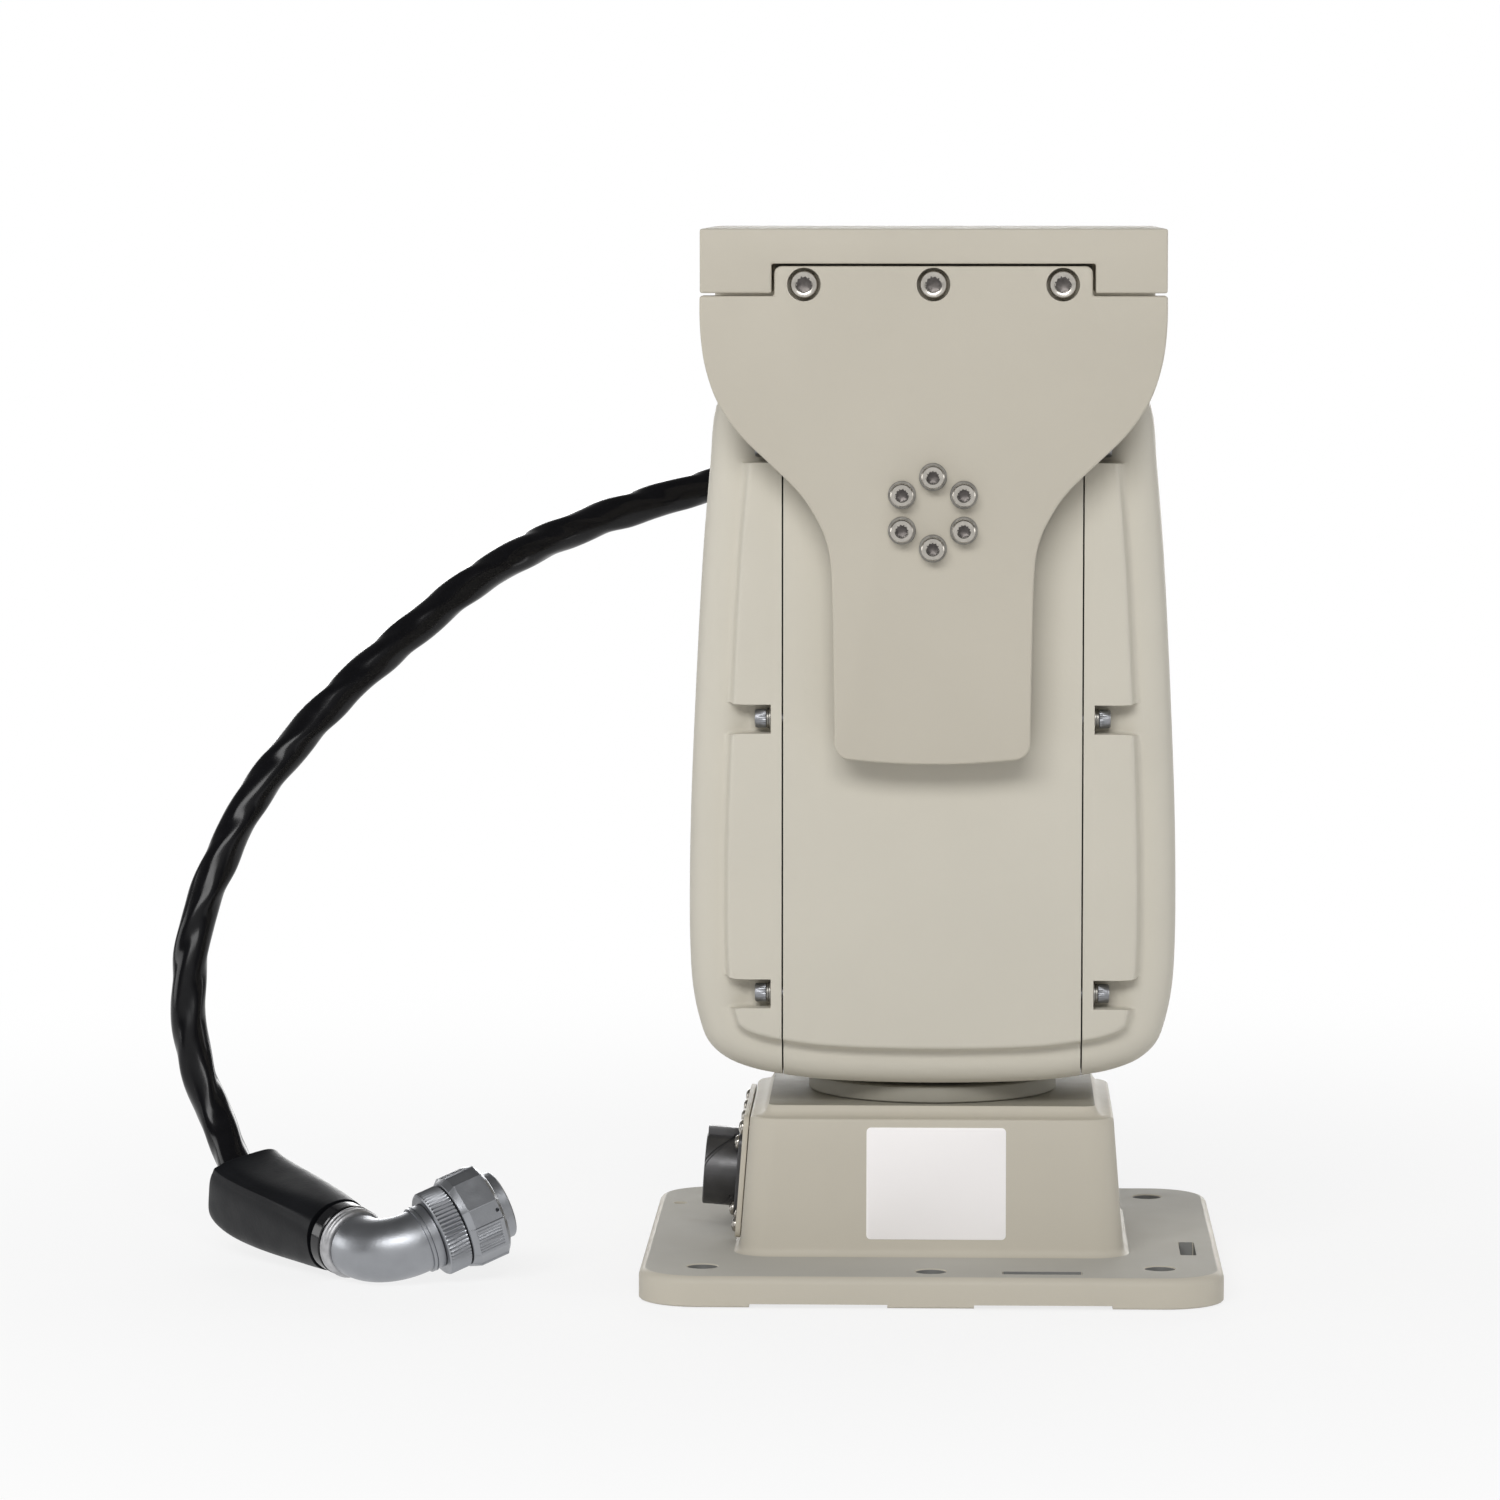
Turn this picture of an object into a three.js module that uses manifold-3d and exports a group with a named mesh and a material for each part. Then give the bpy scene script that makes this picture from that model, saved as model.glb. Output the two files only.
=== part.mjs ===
// Remote pan tilt head: a heavy-duty two-axis positioner on a bolted flange base.
// Millimetres, +Z up, front towards -Y. The origin is under the pan axis, on the mounting surface.

import * as THREE from 'three';
import { mergeVertices } from 'three/addons/utils/BufferGeometryUtils.js';
import Module from 'manifold-3d';

const wasm = await Module();
wasm.setup();

// Clearances and facets
const gap = 0.3;
const seam = 0.6;
const overrun = 6;
const weld = 0.0005;
const fine_sides = 24;
const round_sides = 16;
const small_sides = 8;
const hole_sides = 6;

// Base flange
const flange_half = 105.5;
const flange_thickness = 11;
const flange_corner = 22;
const flange_edge = 3;
const foot_relief = 1.2;
const corner_pad = 40.5;
const middle_pad_half = 15.5;
const bolt_radius = 5.5;
const bolt_edge_distance = 23;
const middle_bolt_edge_distance = 14.5;
const slot_length = 28.8;
const slot_width = 5.8;
const slot_edge_distance = 11.7;
const front_slot_x = 40;
const side_slot_y = -39;
const earth_hole_radius = 2.35;
const earth_hole_edge_distance = 8.7;
const earth_hole_y = 62;

// Pedestal of the base casting
const pedestal_half_x = 70;
const pedestal_half_y = 59.8;
const pedestal_corner = 11;
const pedestal_taper = 3.6;
const pedestal_fillet = 3;
const pedestal_height = 50;
const deck_step = 4.2;
const deck_inset = 6.6;
const pedestal_wall = 4.5;
const pedestal_inner_corner = 20;
const deck_thickness = 5;

// Bottom plate
const bottom_plate_thickness = 3;
const bottom_plate_recess = 1.5;
const bottom_plate_ledge = 3.4;
const bottom_plate_corner = 8;
const bottom_screw_inset = 6.4;
const bottom_screw_length = 8;

// Connector panel and receptacle on the left face of the pedestal
const panel_half_y = 45;
const panel_thickness = 2;
const panel_centre_height = 22;
const panel_below = 18.4;
const panel_above = 27;
const panel_corner = 4;
const panel_screw_edge = 4.6;
const panel_screw_columns = 4;
const panel_screw_length = 6;
const panel_window_radius = 16;
const receptacle_radius = 13.3;
const receptacle_bore = 11.3;
const receptacle_length = 13.7;
const receptacle_flange_half = 15.5;
const receptacle_flange_thickness = 1.6;
const receptacle_screw_inset = 3.2;
const receptacle_screw_length = 4;
const receptacle_tail_radius = 12.6;
const receptacle_tail = 14;
const receptacle_key_height = 2.7;
const receptacle_key_half = 2.6;
const receptacle_recess = 9.5;
const contact_radius = 0.9;
const contact_depth = 2;

// Interface board in the pedestal
const base_board_half_x = 36;
const base_board_half_y = 38;
const base_board_x = 14;
const base_board_rise = 7;
const board_thickness = 1.6;
const standoff_radius = 3;
const chip_height = 6;

// Pan spindle, its bearing and its worm wheel
const spindle_flange_radius = 46;
const spindle_flange_thickness = 6;
const spindle_spigot_radius = 23.7;
const spindle_shoulder_radius = 24;
const spindle_bore = 11.5;
const spindle_nose_radius = 15;
const spindle_screw_circle = 36;
const spindle_screw_count = 6;
const pan_running_gap = 1.4;
const pan_bearing_inner_radius = 20;
const pan_bearing_outer_radius = 34;
const pan_bearing_width = 15;
const bearing_race = 4.2;
const pan_lip_thickness = 2;
const pan_seal_width = 1.4;
const hub_wall = 5.7;
const retainer_thickness = 3;
const retainer_land = 4;
const retainer_notch_half = 2.5;
const retainer_notch_depth = 2;
const pan_hub_radius = 19.5;
const spindle_nut_radius = 21.5;
const spindle_nut_height = 6.5;
const slip_ring_flange_radius = 14;
const slip_ring_flange_thickness = 2;
const slip_ring_depth = 78;
const rotor_radius = 4;
const rotor_collar_radius = 8;
const rotor_collar_height = 3.6;
const rotor_height = 20;
const rotor_bracket_half = 9;
const rotor_bracket_thickness = 2.5;
const rotor_bracket_foot = 16;

// Worm drives
const gear_module = 1.5;
const pan_teeth = 30;
const tilt_teeth = 36;
const wheel_half_width = 5;
const tooth_height = 1.1;
const tooth_depth = 1.7;
const backlash = 0.5;
const pressure_angle = 20;
const worm_pitch_radius = 7.5;
const worm_thread_half = 7;
const worm_steps_per_turn = 8;
const worm_journal_radius = 4;
const worm_end_gap = 1.5;
const ear_inner = 20;
const ear_thickness = 10;
const ear_half_height = 11;
const ear_web_thickness = 5;
const ear_web_drop = 2;
const motor_half = 19;
const motor_length = 39;
const motor_shaft_radius = 2.5;
const motor_shaft_reach = 13;
const pan_motor_clearance = 1.4;

// Head castings
const head_half_width = 88.6;
const head_half_depth = 62;
const head_band_half_depth = 56.2;
const head_side_half_depth = 43;
const head_panel_inset = 15.4;
const tilt_axis_rise = 210.4;
const head_top_radius = 87;
const head_wall = 4.6;
const frame_half_width = 54;
const frame_rim_width = 10;
const frame_panel_wall = 6;
const frame_rim_depth = 6;
const cover_screw_axis_depth = 57;
const cover_screw_land = 3.9;
const cover_screw_grip = 7;
const pocket_half_height = 5.3;
const pocket_floor_length = 7.2;
const pocket_ramp = 5.5;
const cover_screw_shares = [1.106, 0.64, 0.1645];
const gasket_thickness = 1.4;
const gasket_width = 2;
const gasket_margin = 1.4;
const gasket_corner = 12;

// Tilt shaft and its bearings
const tilt_shaft_radius = 17.5;
const tilt_shaft_bore = 8;
const tilt_bearing_outer_radius = 31;
const tilt_bearing_width = 13;
const tilt_bearing_depth = 58;
const tilt_boss_wall = 4.2;
const tilt_lip_radius = 24;
const tilt_hub_wall = 3.2;
const ball_count = 8;
const cage_half_wall = 0.4;
const cage_half_width = 2.2;

// Tilting bracket: arms and payload plate
const arm_thickness = 13;
const arm_clearance = 5;
const arm_half_width = 83.5;
const crown_over_shoulder = 9.7;
const arm_tab_half = 56.8;
const arm_tab_height = 10.6;
const arm_tab_corner = 2.5;
const tongue_half_width = 35.2;
const tongue_drop = 90.5;
const tongue_corner = 6;
const tongue_crown = 1.6;
const plate_half_width = 83.4;
const plate_thickness = 22.9;
const plate_channel_depth = 10.5;
const plate_arm_gap = 1;
const plate_rib_thickness = 3.9;
const plate_rib_depth = 13.6;
const plate_screw_inset = 10.6;
const plate_screw_drop = 7.4;
const counterbore_radius = 6;
const counterbore_depth = 5.6;
const payload_hole_radius = 3.4;
const payload_hole_depth = 9;
const payload_hole_half_spacing = 50;
const hub_screw_circle = 12.8;
const hub_screw_count = 6;
const hub_screw_grip = 7;
const washer_thickness = 1;

// Control board in the head
const control_board_half_x = 32;
const control_board_half_z = 42;
const control_board_height = 178;
const control_board_standoff = 5.7;

// Screw sizes: head and shank radii, and the height of the head
const m3_head = 2.7;
const m3_height = 1.6;
const m3_shank = 1.5;
const m4_head = 3.5;
const m4_height = 4.2;
const m4_shank = 2;
const m5_head = 4.25;
const m5_height = 5;
const m5_shank = 2.5;
const m6_head = 5;
const m6_height = 5;
const m6_shank = 3;
const m6_socket = 2.9;

// Cable, its gland, and the elbow plug at its end
const cable_radius = 7;
const cable_sides = 10;
const cable_steps = 26;
const gland_neck_radius = 7.4;
const gland_neck_reach = 20;
const gland_hex_radius = 12.4;
const gland_hex_length = 6;
const gland_nut_radius = 12;
const gland_nut_length = 5.2;
const gland_nut_chamfer = 1.6;
const gland_dome_radius = 8.6;
const gland_dome_length = 5.6;
const boot_entry_x = -259.2;
const boot_entry_y = 10;
const boot_entry_z = 26.1;
const boot_exit_x = -214;
const boot_exit_y = -47;
const boot_body_radius = 15;
const boot_exit_radius = 13.2;
const boot_lead_in = 10;
const boot_lead_out = 36;
const boot_sides = 16;
const plug_ring_radius = 13.2;
const plug_ring_length = 5;
const elbow_radius = 11.7;
const elbow_bend_radius = 17;
const elbow_lead = 2;
const elbow_tail = 6;
const elbow_collar_radius = 12.6;
const elbow_steps = 5;
const elbow_sides = 12;
const knurl_radius = 16;
const knurl_length = 8.8;
const knurl_teeth = 20;
const knurl_groove = 0.7;
const nut_radius = 17.9;
const nut_length = 15;
const nut_chamfer = 1.6;
const barrel_core_radius = 11.6;
const barrel_lip_radius = 12.8;
const barrel_lip_length = 4.4;
const barrel_bore = 10.2;
const barrel_recess = 8.5;

// Derived heights, from the mounting surface up
const ledge_z = flange_thickness + pedestal_height;
const deck_z = ledge_z + deck_step;
const spindle_flange_z = deck_z + gap;
const ring_top_z = spindle_flange_z + spindle_flange_thickness;
const head_bottom_z = ring_top_z + pan_running_gap;
const pan_bearing_z = head_bottom_z + pan_lip_thickness + gap;
const pan_bearing_top_z = pan_bearing_z + pan_bearing_width;
const retainer_z = pan_bearing_top_z + gap;
const retainer_top_z = retainer_z + retainer_thickness;
const pan_worm_z = retainer_top_z + pan_motor_clearance + motor_half;
const tilt_z = head_bottom_z + tilt_axis_rise;
const pan_pitch_radius = gear_module * pan_teeth / 2;
const tilt_pitch_radius = gear_module * tilt_teeth / 2;
const pan_worm_y = pan_pitch_radius + worm_pitch_radius;
const tilt_worm_z = tilt_z - tilt_pitch_radius - worm_pitch_radius;
const arm_inner_y = head_half_depth + arm_clearance;
const arm_outer_y = arm_inner_y + arm_thickness;
const arm_shoulder_rise = head_top_radius - crown_over_shoulder;
const plate_bottom_z = tilt_z + arm_shoulder_rise + plate_arm_gap;
const plate_top_z = plate_bottom_z + plate_thickness;
const channel_z = plate_bottom_z + plate_channel_depth;
const frame_window_half_depth = head_half_depth - frame_panel_wall;
const frame_bay_half_depth = frame_window_half_depth - frame_rim_depth;
const plate_screw_x = arm_tab_half - plate_screw_inset;
const web_y = frame_window_half_depth - gap;
const base_board_z = bottom_plate_recess + bottom_plate_thickness + base_board_rise;
const control_board_y = -frame_window_half_depth + control_board_standoff;

// Finishes
function finish(color, roughness, metalness) {
  return new THREE.MeshStandardMaterial({ color, roughness, metalness });
}
const paint = { color: 0xc3bbac, roughness: 0.55, metalness: 0 };
const stainless = { color: 0xb9b7b2, roughness: 0.3, metalness: 1 };
const bearing_steel = { color: 0x9a9c9e, roughness: 0.25, metalness: 1 };
const nickel = { color: 0x9c9ea2, roughness: 0.32, metalness: 1 };
const bronze = { color: 0xb08a4a, roughness: 0.4, metalness: 1 };
const dark_shell = { color: 0x3c3c3e, roughness: 0.5, metalness: 0.3 };
const black_rubber = { color: 0x141416, roughness: 0.6, metalness: 0 };
const black_sleeve = { color: 0x101012, roughness: 0.3, metalness: 0 };
const black_plastic = { color: 0x202022, roughness: 0.5, metalness: 0 };
const raw_aluminium = { color: 0xa8aaac, roughness: 0.45, metalness: 1 };
const board_green = { color: 0x1f5a36, roughness: 0.6, metalness: 0 };

// Bodies of the mechanism, as groups
const model = new THREE.Group();
const base = new THREE.Group();
const head = new THREE.Group();
const bracket = new THREE.Group();
model.add(base, head, bracket);

// A closed geometry as a solid that can be joined and cut
function solid(geometry) {
  const bare = geometry.clone();
  bare.deleteAttribute('normal');
  bare.deleteAttribute('uv');
  const merged = mergeVertices(bare, weld);
  const corners = merged.index.array;
  const kept = [];
  for (let i = 0; i < corners.length; i += 3) {
    const [a, b, c] = [corners[i], corners[i + 1], corners[i + 2]];
    if (a !== b && b !== c && c !== a) kept.push(a, b, c);
  }
  const points = new Float32Array(merged.attributes.position.array);
  const made = from_triangles(points, kept);
  if (made.volume() > 0) return made;
  const flipped = kept.map((_, i) => kept[i % 3 === 0 ? i : i % 3 === 1 ? i + 1 : i - 1]);
  return from_triangles(points, flipped);
}

function from_triangles(points, triangles) {
  const triVerts = new Uint32Array(triangles);
  return new wasm.Manifold(new wasm.Mesh({ numProp: 3, vertProperties: points, triVerts }));
}

function geometry_of(made) {
  const mesh = made.getMesh();
  const geometry = new THREE.BufferGeometry();
  geometry.setAttribute('position', new THREE.BufferAttribute(new Float32Array(mesh.vertProperties), 3));
  geometry.setIndex(new THREE.BufferAttribute(new Uint32Array(mesh.triVerts), 1));
  geometry.computeVertexNormals();
  return geometry;
}

function join(...solids) {
  return solids.reduce((sum, next) => sum.add(next));
}

function cut(from, ...tools) {
  return tools.reduce((rest, tool) => rest.subtract(tool), from);
}

// A named piece of the assembly
function piece(group, name, made, look) {
  const mesh = new THREE.Mesh(geometry_of(made), finish(look.color, look.roughness, look.metalness));
  mesh.name = name;
  group.add(mesh);
}

function moved(made, matrix) {
  return solid(geometry_of(made).applyMatrix4(matrix));
}

// Frames: each takes a shape drawn along local Z to an axis of the model
const to_axis = {
  x: new THREE.Matrix4().makeBasis(unit(0, 1, 0), unit(0, 0, 1), unit(1, 0, 0)),
  y: new THREE.Matrix4().makeBasis(unit(0, 0, 1), unit(1, 0, 0), unit(0, 1, 0)),
  z: new THREE.Matrix4(),
};

function unit(x, y, z) {
  return new THREE.Vector3(x, y, z);
}

// The place of a point given across an axis (a, b) and along it (w)
function across(axis, a, b, w) {
  if (axis === 'x') return unit(w, a, b);
  if (axis === 'y') return unit(b, w, a);
  return unit(a, b, w);
}

function box(x0, x1, y0, y1, z0, z1) {
  const geometry = new THREE.BoxGeometry(Math.abs(x1 - x0), Math.abs(y1 - y0), Math.abs(z1 - z0));
  return solid(geometry.translate((x0 + x1) / 2, (y0 + y1) / 2, (z0 + z1) / 2));
}

// A round bar along an axis, with its centre at (a, b) across that axis
function rod(axis, radius, from, to, a = 0, b = 0, sides = round_sides) {
  const length = Math.abs(to - from);
  const geometry = new THREE.CylinderGeometry(radius, radius, length, sides);
  geometry.rotateX(Math.PI / 2).translate(0, 0, (from + to) / 2).applyMatrix4(to_axis[axis]);
  const centre = across(axis, a, b, 0);
  return solid(geometry.translate(centre.x, centre.y, centre.z));
}

function tube(axis, outer, inner, from, to, a = 0, b = 0, sides = round_sides) {
  const low = Math.min(from, to);
  const high = Math.max(from, to);
  const bore = rod(axis, inner, low - overrun, high + overrun, a, b, sides);
  return cut(rod(axis, outer, low, high, a, b, sides), bore);
}

// A turned shape from a closed profile of [radius, place along the axis]
function turned(axis, profile, a = 0, b = 0, sides = round_sides) {
  const points = [...profile, profile[0]].map(([r, w]) => new THREE.Vector2(r, w));
  const geometry = new THREE.LatheGeometry(points, sides).rotateX(Math.PI / 2);
  geometry.applyMatrix4(to_axis[axis]);
  const centre = across(axis, a, b, 0);
  return solid(geometry.translate(centre.x, centre.y, centre.z));
}

// A flat outline in X and Z, given thickness along Y
function slab_xz(points, y0, y1) {
  const shape = new THREE.Shape(points.map(([x, z]) => new THREE.Vector2(x, z)));
  const geometry = new THREE.ExtrudeGeometry(shape, { depth: y1 - y0, bevelEnabled: false });
  return solid(geometry.rotateX(Math.PI / 2).translate(0, y1, 0));
}

function slab_xy(points, z0, z1) {
  const shape = new THREE.Shape(points.map(([x, y]) => new THREE.Vector2(x, y)));
  const geometry = new THREE.ExtrudeGeometry(shape, { depth: z1 - z0, bevelEnabled: false });
  return solid(geometry.translate(0, 0, z0));
}

function slab_yz(points, x0, x1) {
  const shape = new THREE.Shape(points.map(([y, z]) => new THREE.Vector2(y, z)));
  const geometry = new THREE.ExtrudeGeometry(shape, { depth: x1 - x0, bevelEnabled: false });
  return solid(geometry.translate(0, 0, x0).applyMatrix4(to_axis.x));
}

// A skin over rings of points, closed by a fan at each end
function loft(rings) {
  const count = rings[0].length;
  const points = [];
  const triangles = [];
  for (const ring of rings) for (const p of ring) points.push(p.x, p.y, p.z);
  for (let r = 0; r + 1 < rings.length; r++) {
    for (let i = 0; i < count; i++) {
      const j = (i + 1) % count;
      const [a, b] = [r * count + i, r * count + j];
      triangles.push(a, b, b + count, a, b + count, a + count);
    }
  }
  for (const [ring, first, turn] of [[rings[0], 0, 1], [rings.at(-1), (rings.length - 1) * count, 0]]) {
    const middle = ring.reduce((sum, p) => sum.add(p), unit(0, 0, 0)).divideScalar(count);
    const hub = points.length / 3;
    points.push(middle.x, middle.y, middle.z);
    for (let i = 0; i < count; i++) {
      const j = (i + 1) % count;
      triangles.push(hub, first + (turn ? j : i), first + (turn ? i : j));
    }
  }
  const geometry = new THREE.BufferGeometry();
  geometry.setAttribute('position', new THREE.BufferAttribute(new Float32Array(points), 3));
  geometry.setIndex(triangles);
  return solid(geometry);
}

// A rectangle with round corners, as points
const corner_steps = 3;
function rounded(half_a, half_b, corner) {
  const points = [];
  const centres = [[1, 1], [-1, 1], [-1, -1], [1, -1]];
  centres.forEach(([sa, sb], quarter) => {
    for (let i = 0; i <= corner_steps; i++) {
      const angle = (quarter + i / corner_steps) * Math.PI / 2;
      const a = sa * (half_a - corner) + corner * Math.cos(angle);
      const b = sb * (half_b - corner) + corner * Math.sin(angle);
      points.push([a, b]);
    }
  });
  return points;
}

function block(rings) {
  return loft(rings.map(([z, half_x, half_y, corner]) =>
    rounded(half_x, half_y, corner).map(([x, y]) => unit(x, y, z))));
}

// A socket screw pointing along local -Z, its head's face at the origin
function plate_screw() {
  const head_sides = 10;
  const top = rod('z', m6_head, -m6_height, 0, 0, 0, head_sides);
  const shank = rod('z', m6_shank, -m6_height - plate_screw_length + gap, -m6_height + gap, 0, 0, head_sides);
  const key = rod('z', m6_socket, -m6_height / 2, overrun, 0, 0, hole_sides);
  return cut(join(top, shank), key);
}

// Copies of one solid, each set with its local Z along a direction
function copies(made, places) {
  return places.map(({ at, facing }) => {
    const turn = new THREE.Quaternion().setFromUnitVectors(unit(0, 0, 1), facing);
    return moved(made, new THREE.Matrix4().compose(at, turn, unit(1, 1, 1)));
  });
}

function ring_places(axis, radius, count, along, facing, a = 0, b = 0, start = 0) {
  return Array.from({ length: count }, (_, i) => {
    const angle = start + i * 2 * Math.PI / count;
    return { at: across(axis, a + radius * Math.cos(angle), b + radius * Math.sin(angle), along), facing };
  });
}

// Base casting
const bolt_half = flange_half - bolt_edge_distance;
const middle_bolt_y = flange_half - middle_bolt_edge_distance;
const slot_place = flange_half - slot_edge_distance;
const ledge_half_x = pedestal_half_x - pedestal_taper;
const ledge_half_y = pedestal_half_y - pedestal_taper;
const fillet_top = flange_thickness + pedestal_fillet;

function base_outer() {
  const edge_share = 0.3;
  const flange = block([
    [0, flange_half, flange_half, flange_corner],
    [flange_thickness - flange_edge, flange_half, flange_half, flange_corner],
    [flange_thickness - flange_edge * edge_share, flange_half - flange_edge * edge_share,
      flange_half - flange_edge * edge_share, flange_corner],
    [flange_thickness, flange_half - flange_edge, flange_half - flange_edge, flange_corner],
  ]);
  // Share of the cove's width and of its height, from the ledge up to the deck
  const cove_shares = [[0.15, 0.04], [0.55, 0.2], [0.85, 0.5], [1, 1]];
  const foot_shares = [[1, 0], [0.3, 0.4], [0, 1]];
  const rings = [];
  rings.push([flange_thickness / 2, pedestal_half_x + pedestal_fillet, pedestal_half_y + pedestal_fillet,
    pedestal_corner]);
  for (const [wide, high] of foot_shares) {
    const spread = pedestal_fillet * wide;
    rings.push([flange_thickness + pedestal_fillet * high, pedestal_half_x + spread, pedestal_half_y + spread,
      pedestal_corner]);
  }
  rings.push([ledge_z, ledge_half_x, ledge_half_y, pedestal_corner]);
  for (const [wide, high] of cove_shares) {
    const inset = deck_inset * wide;
    rings.push([ledge_z + deck_step * high, ledge_half_x - inset, ledge_half_y - inset,
      Math.max(pedestal_corner - inset, pedestal_wall)]);
  }
  return join(flange, block(rings));
}

function base_cavity() {
  const top = deck_z - deck_thickness;
  return block([
    [-overrun, pedestal_half_x - pedestal_wall, pedestal_half_y - pedestal_wall, pedestal_inner_corner],
    [fillet_top, pedestal_half_x - pedestal_wall, pedestal_half_y - pedestal_wall, pedestal_inner_corner],
    [top - pedestal_wall, ledge_half_x - pedestal_wall, ledge_half_y - pedestal_wall, pedestal_inner_corner],
    [top, ledge_half_x - 2 * pedestal_wall, ledge_half_y - 2 * pedestal_wall, pedestal_inner_corner],
  ]);
}

function foot_reliefs() {
  const from = middle_pad_half;
  const to = flange_half - corner_pad;
  const reach = flange_half + overrun;
  const cuts = [];
  for (const side of [-1, 1]) {
    cuts.push(box(side * from, side * to, -reach, reach, -overrun, foot_relief));
    cuts.push(box(-reach, reach, side * from, side * to, -overrun, foot_relief));
  }
  return cuts;
}

function slot(x, y, along_x) {
  const half = slot_length / 2 - slot_width / 2;
  const [dx, dy] = along_x ? [half, 0] : [0, half];
  const ends = [-1, 1].map((s) =>
    rod('z', slot_width / 2, -overrun, flange_thickness + overrun, x + s * dx, y + s * dy, small_sides));
  const wide = slot_width / 2;
  const reach_x = dx + (along_x ? 0 : wide);
  const reach_y = dy + (along_x ? wide : 0);
  return join(...ends, box(x - reach_x, x + reach_x, y - reach_y, y + reach_y, -overrun,
    flange_thickness + overrun));
}

const bottom_outline = [
  pedestal_half_x - pedestal_wall + bottom_plate_ledge,
  pedestal_half_y - pedestal_wall + bottom_plate_ledge,
];
const bottom_plate_z = bottom_plate_recess + bottom_plate_thickness;
const bottom_screw_places = [[1, 1], [-1, 1], [-1, -1], [1, -1]].map(([sx, sy]) => ({
  at: unit(sx * (bottom_outline[0] - bottom_screw_inset), sy * (bottom_outline[1] - bottom_screw_inset),
    bottom_plate_recess),
  facing: unit(0, 0, -1),
}));

const slope = Math.atan2(pedestal_taper, ledge_z - fillet_top);
const panel_z = flange_thickness + panel_centre_height;
const panel_x = -(pedestal_half_x - (panel_z - fillet_top) * Math.tan(slope));
const panel_frame = new THREE.Matrix4().makeRotationY(slope).setPosition(panel_x, 0, panel_z);
const left = unit(-1, 0, 0);
const panel_screw_places = [];
for (let i = 0; i < panel_screw_columns; i++) {
  const reach = panel_half_y - panel_screw_edge;
  const y = -reach + 2 * reach * i / (panel_screw_columns - 1);
  for (const z of [-panel_below + panel_screw_edge, panel_above - panel_screw_edge]) {
    panel_screw_places.push({ at: unit(-gap - panel_thickness, y, z), facing: left });
  }
}
const flange_face = -gap - panel_thickness - gap - receptacle_flange_thickness;
const receptacle_screw_half = receptacle_flange_half - receptacle_screw_inset;
const receptacle_screw_places = [[1, 1], [-1, 1], [-1, -1], [1, -1]].map(([sy, sz]) => ({
  at: unit(flange_face, sy * receptacle_screw_half, sz * receptacle_screw_half),
  facing: left,
}));

// Round holes that start outside a face at each place and run to a depth under it
function screw_holes(places, shank, depth, sides = hole_sides) {
  return copies(rod('z', shank + gap, -depth, overrun, 0, 0, sides), places);
}

function make_base_housing() {
  let body = cut(base_outer(), base_cavity(), ...foot_reliefs());
  body = cut(body, block([
    [-overrun, bottom_outline[0], bottom_outline[1], bottom_plate_corner],
    [bottom_plate_z + gap, bottom_outline[0], bottom_outline[1], bottom_plate_corner],
  ]));
  const through = flange_thickness + overrun;
  for (const sx of [-1, 1]) {
    for (const sy of [-1, 1]) {
      body = cut(body, rod('z', bolt_radius, -overrun, through, sx * bolt_half, sy * bolt_half, 14));
    }
    body = cut(body, rod('z', bolt_radius, -overrun, through, 0, sx * middle_bolt_y, 14));
  }
  body = cut(body, rod('z', earth_hole_radius, -overrun, through, earth_hole_edge_distance - flange_half,
    earth_hole_y, small_sides));
  body = cut(body, slot(front_slot_x, -slot_place, true), slot(slot_place, side_slot_y, false));
  body = cut(body, rod('z', spindle_spigot_radius + gap, deck_z - deck_thickness - overrun, deck_z + overrun, 0, 0,
    fine_sides));
  body = cut(body, ...screw_holes(bottom_screw_places, m3_shank, bottom_screw_length), ...spindle_screw_holes());
  const window = rod('x', panel_window_radius, -overrun, pedestal_wall + overrun);
  return cut(body, ...[window, ...screw_holes(panel_screw_places, m3_shank, panel_screw_length)].map(leaned));
}

function spindle_screw_holes() {
  const depth = deck_thickness + spindle_flange_thickness - m5_shank;
  return screw_holes(ring_places('z', spindle_screw_circle, spindle_screw_count, deck_z - deck_thickness,
    unit(0, 0, -1)), m5_shank, depth);
}

function make_bottom_plate() {
  const plate = block([
    [bottom_plate_recess, bottom_outline[0] - gap, bottom_outline[1] - gap, bottom_plate_corner],
    [bottom_plate_z, bottom_outline[0] - gap, bottom_outline[1] - gap, bottom_plate_corner],
  ]);
  const sink = rod('z', m3_head + gap, -m3_height - gap, overrun, 0, 0, small_sides);
  const standoffs = base_standoff_places().flatMap(([x, y]) => [
    rod('z', standoff_radius, bottom_plate_z - gap, base_board_z - gap, x, y, small_sides),
    rod('z', standoff_radius / 2, bottom_plate_z - gap, base_board_z + board_thickness + gap, x, y, small_sides),
  ]);
  return cut(join(plate, ...standoffs), ...screw_holes(bottom_screw_places, m3_shank, bottom_screw_length),
    ...copies(sink, bottom_screw_places));
}

function base_standoff_places() {
  const inset = 2 * standoff_radius;
  return [[1, 1], [-1, 1], [-1, -1], [1, -1]].map(([sx, sy]) =>
    [base_board_x + sx * (base_board_half_x - inset), sy * (base_board_half_y - inset)]);
}

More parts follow.
